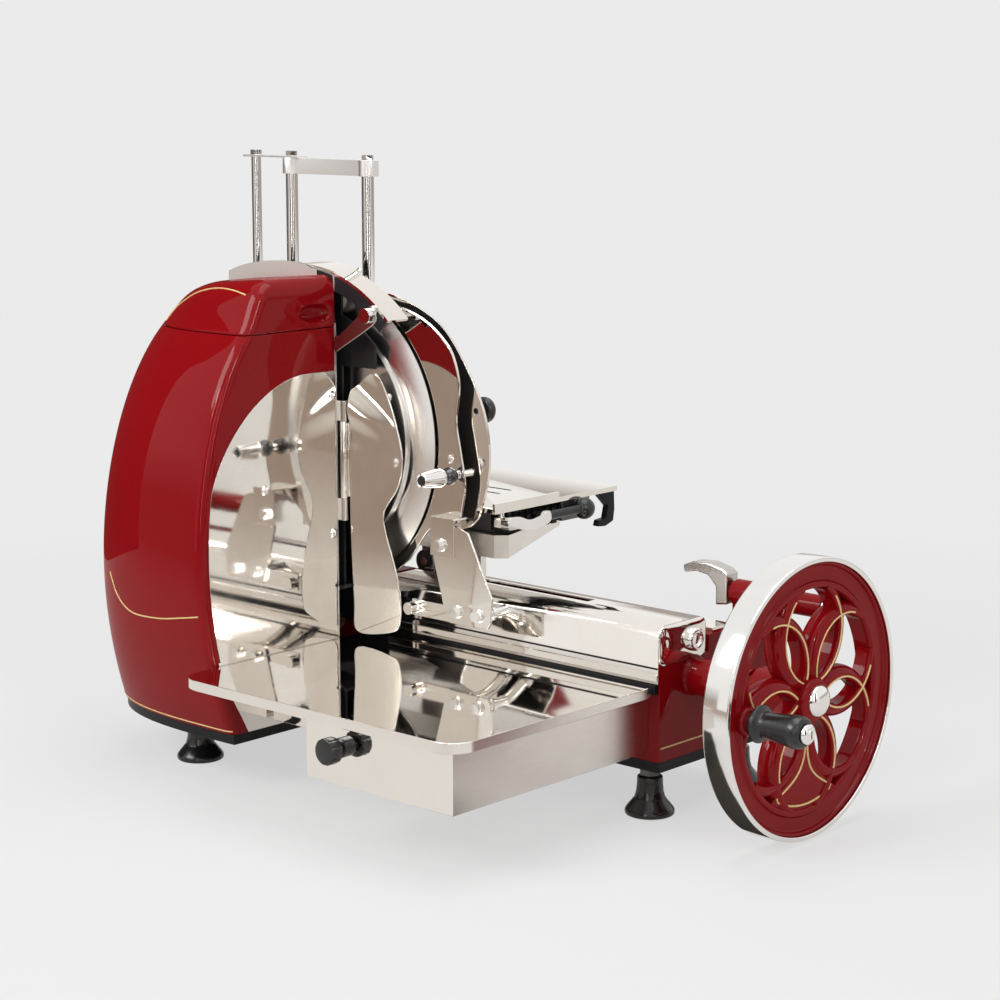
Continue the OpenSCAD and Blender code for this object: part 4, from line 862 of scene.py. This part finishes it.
# the receiving tray: a pressed sheet with a turned-down rim and round front corners
TRAY_X0, TRAY_X1, TRAY_Y0, TRAY_Y1, TRAY_TOP, TRAY_LIP = 46.6, 399.9, -236.9, 26.9, 127.95, 9.9
tray_mesh = bmesh.new()
tray_path = rounded([(TRAY_X0, TRAY_Y1), (TRAY_X0, TRAY_Y0), (TRAY_X1, TRAY_Y0), (TRAY_X1, TRAY_Y1)], 27.0, 8)
tray_verts = [tray_mesh.verts.new(at(p.x, p.y, TRAY_TOP)) for p in tray_path]
tray_mesh.faces.new(tray_verts)
rim_edges = [tray_mesh.edges.get(pair) for pair in zip(tray_verts, tray_verts[1:])]
turned = bmesh.ops.extrude_edge_only(tray_mesh, edges=rim_edges)
bmesh.ops.translate(tray_mesh, verts=[v for v in turned["geom"] if isinstance(v, bmesh.types.BMVert)],
                    vec=(0, 0, -TRAY_LIP * MM))
tray_sheet = piece("tray_sheet", tray_mesh, TRAY, "tray", "polished_steel", "tray", inside=at(220, -105, 110))
eased(walled(tray_sheet, 1.2), 1.1, 4, 40)

# the pillowed end of the rail cover, with the rod's end cap
END_X = 405.0


def end_ring(inset, x):
    """The end's outline, drawn in by an inset, at a place in X."""
    y0, y1, z0, z1 = 29.6 + inset, 98.4 - inset, 147.0 + inset, 184.6 - inset
    middle = ((y0 + y1) / 2, z0)
    loop = rounded([middle, (y1, z0), (y1, z1), (y0, z1), (y0, z0), middle], max(9.0 - inset * 0.5, 3.0), 6)
    return [at(x, p.x, p.y) for p in loop]


end_rings = [end_ring(inset, END_X + out) for inset, out in
             ((0, -0.4), (0, 0.9), (0.5, 1.5), (1.6, 2.1), (3.6, 2.7), (6.6, 3.2), (10.6, 3.6), (15.0, 3.8))]
end_mesh = grid_of(end_rings)
bmesh.ops.remove_doubles(end_mesh, verts=end_mesh.verts, dist=MERGE)
bmesh.ops.holes_fill(end_mesh, edges=[e for e in end_mesh.edges if e.is_boundary], sides=0)
piece("rail_cover_end", end_mesh, STEEL, "frame", "polished_steel", sharp=50)
rod_cap = rounded([(0, 5.5), (5, 5.5), (6.5, 8.4), (9.5, 8.6), (11, 6.8), (11.4, 0), (0, 0)], 1.2, 4)
turned_piece("guide_rod_cap", rod_cap, at(END_X + 2.0, 75, 167), X_AXIS, 56, CHROME, "frame", "chrome", sharp=50)

# the splash plate's foot below the tray
foot_plate = bmesh.new()
foot_face = [(-186.5, 131), (-29, 131), (-29, 56.6), (-150, 56.6), (-158, 72), (-172, 97)]
raised(foot_plate, [at(FACE_X + 0.05, y, z) for y, z in foot_face], (0.9 * MM, 0, 0))
piece("splash_plate_foot", foot_plate, STEEL, "frame", "polished_steel")

# the dark joint and the ledge between the rail cover and the tray, and the end of the base
barred_piece("rail_joint", [((47, 27.4, 121), (403, 31.95, 130.6)), ((-30, 29.2, 130.6), (59.6, 31.95, 188)),
                            ((59.4, 28.75, 144.6), (404.6, 29.2, 146.4))], BLACK, "frame", "black_paint")
ledge = barred_piece("rail_ledge", [((59.4, 27.4, 133.4), (404.6, 29.2, 140.5))], STEEL, "frame", "polished_steel")
eased(ledge, 0.8, 3)
barred_piece("base_end_cheek", [((404.6, 29.1, 131), (405.5, 98.9, 146.6))], RED, "frame", "red_paint")
end_line = [at(END_X + 0.1, y, 69.2) for y in range(34, 199, 4)]
piece("base_end_line", line_mesh([end_line], LINE_R), GOLD, "frame", "red_paint")

# ---------------------------------------------------------------- carried-over solids with eased edges
for material, nodes in (
        (STEEL, (("splash_plate", 0.35), ("rim_guard", 0.6), ("guard_bracket", 0.6), ("deflector_hinge", 0.3),
                 ("deflector_latch", 0.5), ("rear_rail", 0.5), ("meat_table", 0.7))),
        (BRUSHED, (("post_bar", 0.8), ("post_strap", 0.8))),
        (GREY_CAST, (("guard_arm", 0.6),)),
        (BOWED, (("round_guard", 0.8),)),
        (GUARD, (("blade_guard", 0.6),)),
        (SATIN, (("blade_flange", 0.4),)),
        (SKIRT, (("tray_skirt", 0.5),)),
        (COVER, (("rail_cover", 0.9, 3, 50),)),
        (SATIN, (("carriage_casting", 1.2, 3), ("meat_clamp", 0.8))),
        (CHROME, (("dome_screws", 0.3), ("guard_spacers", 0.4), ("bracket_bolts", 0.4), ("blade_screws", 0.3),
                  ("guide_rod", 0.5), ("feed_lever", 1.0), ("posts", 0.5))),
        (GREY_CAST, (("hook_lever", 2.0, 3),)),
        (RED, (("base_casting", 1.6, 3), ("control_arm", 1.5, 3), ("shaft_housing", 1.0, 3))),
        (BLACK, (("plinth", 0.6), ("rack_cover", 0.6), ("stop_bracket", 1.0, 3))),
        (LIP, (("back_plate", 0.4),)),
        (PLASTIC, (("tray_knob", 0.5), ("lever_ball", 0.6))),
        (IRON, (("cross_slide", 0.8),))):
    for node, *easing in nodes:
        dressed(node, material, *easing)

# the nodes inside keep their CAD shapes and take a finish
for material, nodes in ((IRON, ("foot_studs", "main_column", "top_sprocket", "low_sprocket", "drive_chain",
                                "rear_roller")),
                        (BRONZE, ("bushes", "cross_bevel")),
                        (CHROME, ("blade_shaft", "cross_shaft", "flywheel_shaft")),
                        (STONE, ("sharpening_stones",))):
    for node in nodes:
        slots = frame["nodes"][node].data.materials
        slots.clear()
        slots.append(material)


# ---------------------------------------------------------------- floor, light and camera
def stage_plane(name, corners, material):
    bm = bmesh.new()
    bm.faces.new([bm.verts.new(Vector(c)) for c in corners])
    mesh = bpy.data.meshes.new(name)
    bm.to_mesh(mesh)
    bm.free()
    mesh.materials.append(material)
    made = bpy.data.objects.new(name, mesh)
    bpy.context.scene.collection.objects.link(made)
    return made


def metal_only(made):
    """Keeps a stage piece out of sight, except in the metal."""
    made.visible_camera = made.visible_diffuse = made.visible_shadow = made.visible_transmission = False


def seen_straight(wire):
    """1 for what the camera sees straight or through glass."""
    return wire.math("MAXIMUM", wire.node("LightPath", out="Is Camera Ray"),
                     wire.node("LightPath", out="Is Transmission Ray"))


PALE = rgb(0.83, 0.83, 0.83)
NEAR_SHADE, FAR_SHADE, WARM_SHADE = rgb(0.84, 0.80, 0.75), rgb(0.82, 0.80, 0.77), rgb(0.48, 0.39, 0.33)
HORIZON_SHADE, HIGH_SHADE = rgb(0.42, 0.37, 0.33), rgb(1.0, 0.99, 0.97)


FLOOR_HALF, FLOOR_Z = 6.0, -0.0005
BRIGHT_CARD, DARK_CARD_AND_SHADE = rgb(1.0, 0.98, 0.95), rgb(0.05, 0.045, 0.04)


def floor_material():
    """A pale floor: it keeps the shadow near the machine, and goes over into the backdrop far away.
    In the metal it shows as a pale table in a warm room."""
    material, wire = blank_material("pale_floor")
    spot = place_of(wire)
    away = wire.node("VectorMath", {"operation": "LENGTH"}, {0: spot}, out="Value")
    matt = wire.node("BsdfDiffuse", {}, {"Color": rgb(0.73, 0.73, 0.73)})
    glow = wire.node("Emission", {}, {"Color": PALE, "Strength": 1.0})
    glow_share = seen_straight(wire) * (0.70 + away.clipped(0.75, 1.5) * 0.30)
    plain = wire.node("MixShader", {}, {0: glow_share, 1: matt, 2: glow})
    plain_shade = away.clipped(0.5, 2.2).blend(NEAR_SHADE, FAR_SHADE)
    ahead = wire.node("VectorMath", {"operation": "DOT_PRODUCT"}, {0: spot, 1: (0.0, -1.0, 0.0)}, out="Value")
    shade = ahead.clipped(0.50, 1.05).blend(plain_shade, WARM_SHADE)
    mirror = wire.node("Emission", {}, {"Color": shade, "Strength": 1.0})
    mirror_share = wire.node("LightPath", out="Is Glossy Ray") * (0.55 + away.clipped(0.4, 1.0) * 0.45)
    both = wire.node("MixShader", {}, {0: mirror_share, 1: plain, 2: mirror})
    wire.node("OutputMaterial", {}, {"Surface": both})
    return material


floor_corners = [(FLOOR_HALF * x, FLOOR_HALF * y, FLOOR_Z) for x, y in ((-1, -1), (1, -1), (1, 1), (-1, 1))]
stage_plane("floor", floor_corners, floor_material())


def card(name, bearing, distance, width, low, high, shade, strength=1.0):
    """A card that stands beside the camera and shows only in the metal."""
    material, wire = blank_material(name)
    glow = wire.node("Emission", {}, {"Color": shade, "Strength": strength})
    wire.node("OutputMaterial", {}, {"Surface": glow})
    turn = math.radians(bearing)
    out, side = Vector((math.cos(turn), math.sin(turn), 0)), Vector((-math.sin(turn), math.cos(turn), 0))
    left, right = out * distance - side * width / 2, out * distance + side * width / 2
    metal_only(stage_plane(name, [left + Z_AXIS * low, right + Z_AXIS * low, right + Z_AXIS * high,
                                  left + Z_AXIS * high], material))


card("bright_card_left", -109, 1.9, 0.46, 0.0, 1.3, BRIGHT_CARD)
card("dark_card_left", -82, 1.7, 0.42, 0.0, 1.6, DARK_CARD_AND_SHADE)
card("dark_card_right", -12, 1.9, 0.50, 0.0, 1.6, DARK_CARD_AND_SHADE)
card("bright_card_right", 12, 1.9, 0.45, 0.0, 1.3, BRIGHT_CARD)
card("streak_left", -66, 2.3, 0.10, 0.1, 1.7, BRIGHT_CARD, 9.0)
card("streak_right", -22, 2.3, 0.08, 0.1, 1.7, BRIGHT_CARD, 7.0)
card("dark_card_end", 178, 1.3, 1.7, 0.0, 1.7, rgb(0.10, 0.085, 0.075))

# painted shade: a dark band on the floor, seen only in the metal, standing in for the shade under the machine, for the
# lower half of the wheel's rim to mirror
shade_band = [(0.05, -0.285), (0.105, -0.285), (0.18, -0.20), (0.262, -0.085), (0.30, -0.02), (0.335, 0.06),
              (0.285, 0.06), (0.245, -0.031), (0.208, -0.085), (0.13, -0.191)]
shade_material, shade_wire = blank_material("shade_under")
shade_matt = shade_wire.node("BsdfDiffuse", {}, {"Color": DARK_CARD_AND_SHADE})
shade_wire.node("OutputMaterial", {}, {"Surface": shade_matt})
metal_only(stage_plane("shade_under", [(x, y, 0) for x, y in shade_band], shade_material))

world = bpy.data.worlds.new("studio")
bpy.context.scene.world = world
world.use_nodes = True
world.node_tree.nodes.clear()
sky = Wire(world.node_tree)
climb = along(sky, sky.node("TexCoord", out="Generated"), 2).clipped(0.0, 0.16)
room = sky.node("Background", {}, {"Color": rgb(0.80, 0.80, 0.80), "Strength": 0.55})
mirrored = sky.node("Background", {}, {"Color": climb.blend(HORIZON_SHADE, HIGH_SHADE), "Strength": 1.0})
backdrop = sky.node("Background", {}, {"Color": PALE, "Strength": 1.0})
lit = sky.node("MixShader", {}, {0: sky.node("LightPath", out="Is Glossy Ray"), 1: room, 2: mirrored})
shown = sky.node("MixShader", {}, {0: seen_straight(sky), 1: lit, 2: backdrop})
sky.node("OutputWorld", {}, {"Surface": shown})


def softbox(name, spot, target, size, power, tint=(1.0, 1.0, 1.0)):
    lamp = bpy.data.lights.new(name, "AREA")
    lamp.shape = "RECTANGLE"
    lamp.size, lamp.size_y = size
    lamp.energy = power
    lamp.color = tint
    made = bpy.data.objects.new(name, lamp)
    bpy.context.scene.collection.objects.link(made)
    made.location = spot
    made.rotation_euler = (Vector(target) - Vector(spot)).to_track_quat("-Z", "Y").to_euler()
    return made


softbox("key_softbox", (-0.9, -2.2, 2.0), (0, 0, 0.2), (1.6, 1.2), 42.0)
softbox("top_softbox", (0.2, 0.1, 2.4), (0, 0, 0.2), (2.0, 1.6), 26.0)
softbox("side_softbox", (2.4, -0.6, 1.2), (0.1, 0, 0.25), (1.0, 1.4), 11.0)
softbox("left_spark", (-0.5, -2.3, 1.5), (0, 0, 0.25), (0.14, 0.5), 7.0)
softbox("right_spark", (2.3, -1.2, 1.7), (0.3, 0, 0.15), (0.14, 0.4), 7.0)

camera = bpy.data.objects.new("camera", bpy.data.cameras.new("camera"))
bpy.context.scene.collection.objects.link(camera)
camera.data.lens = 86.2
camera.location = at(1722.5, -1644.3, 680.0)
camera.rotation_euler = (math.radians(79.93), 0, math.radians(42.1))
bpy.context.scene.camera = camera
bpy.context.scene.view_settings.view_transform = "Standard"

bpy.context.view_layer.update()
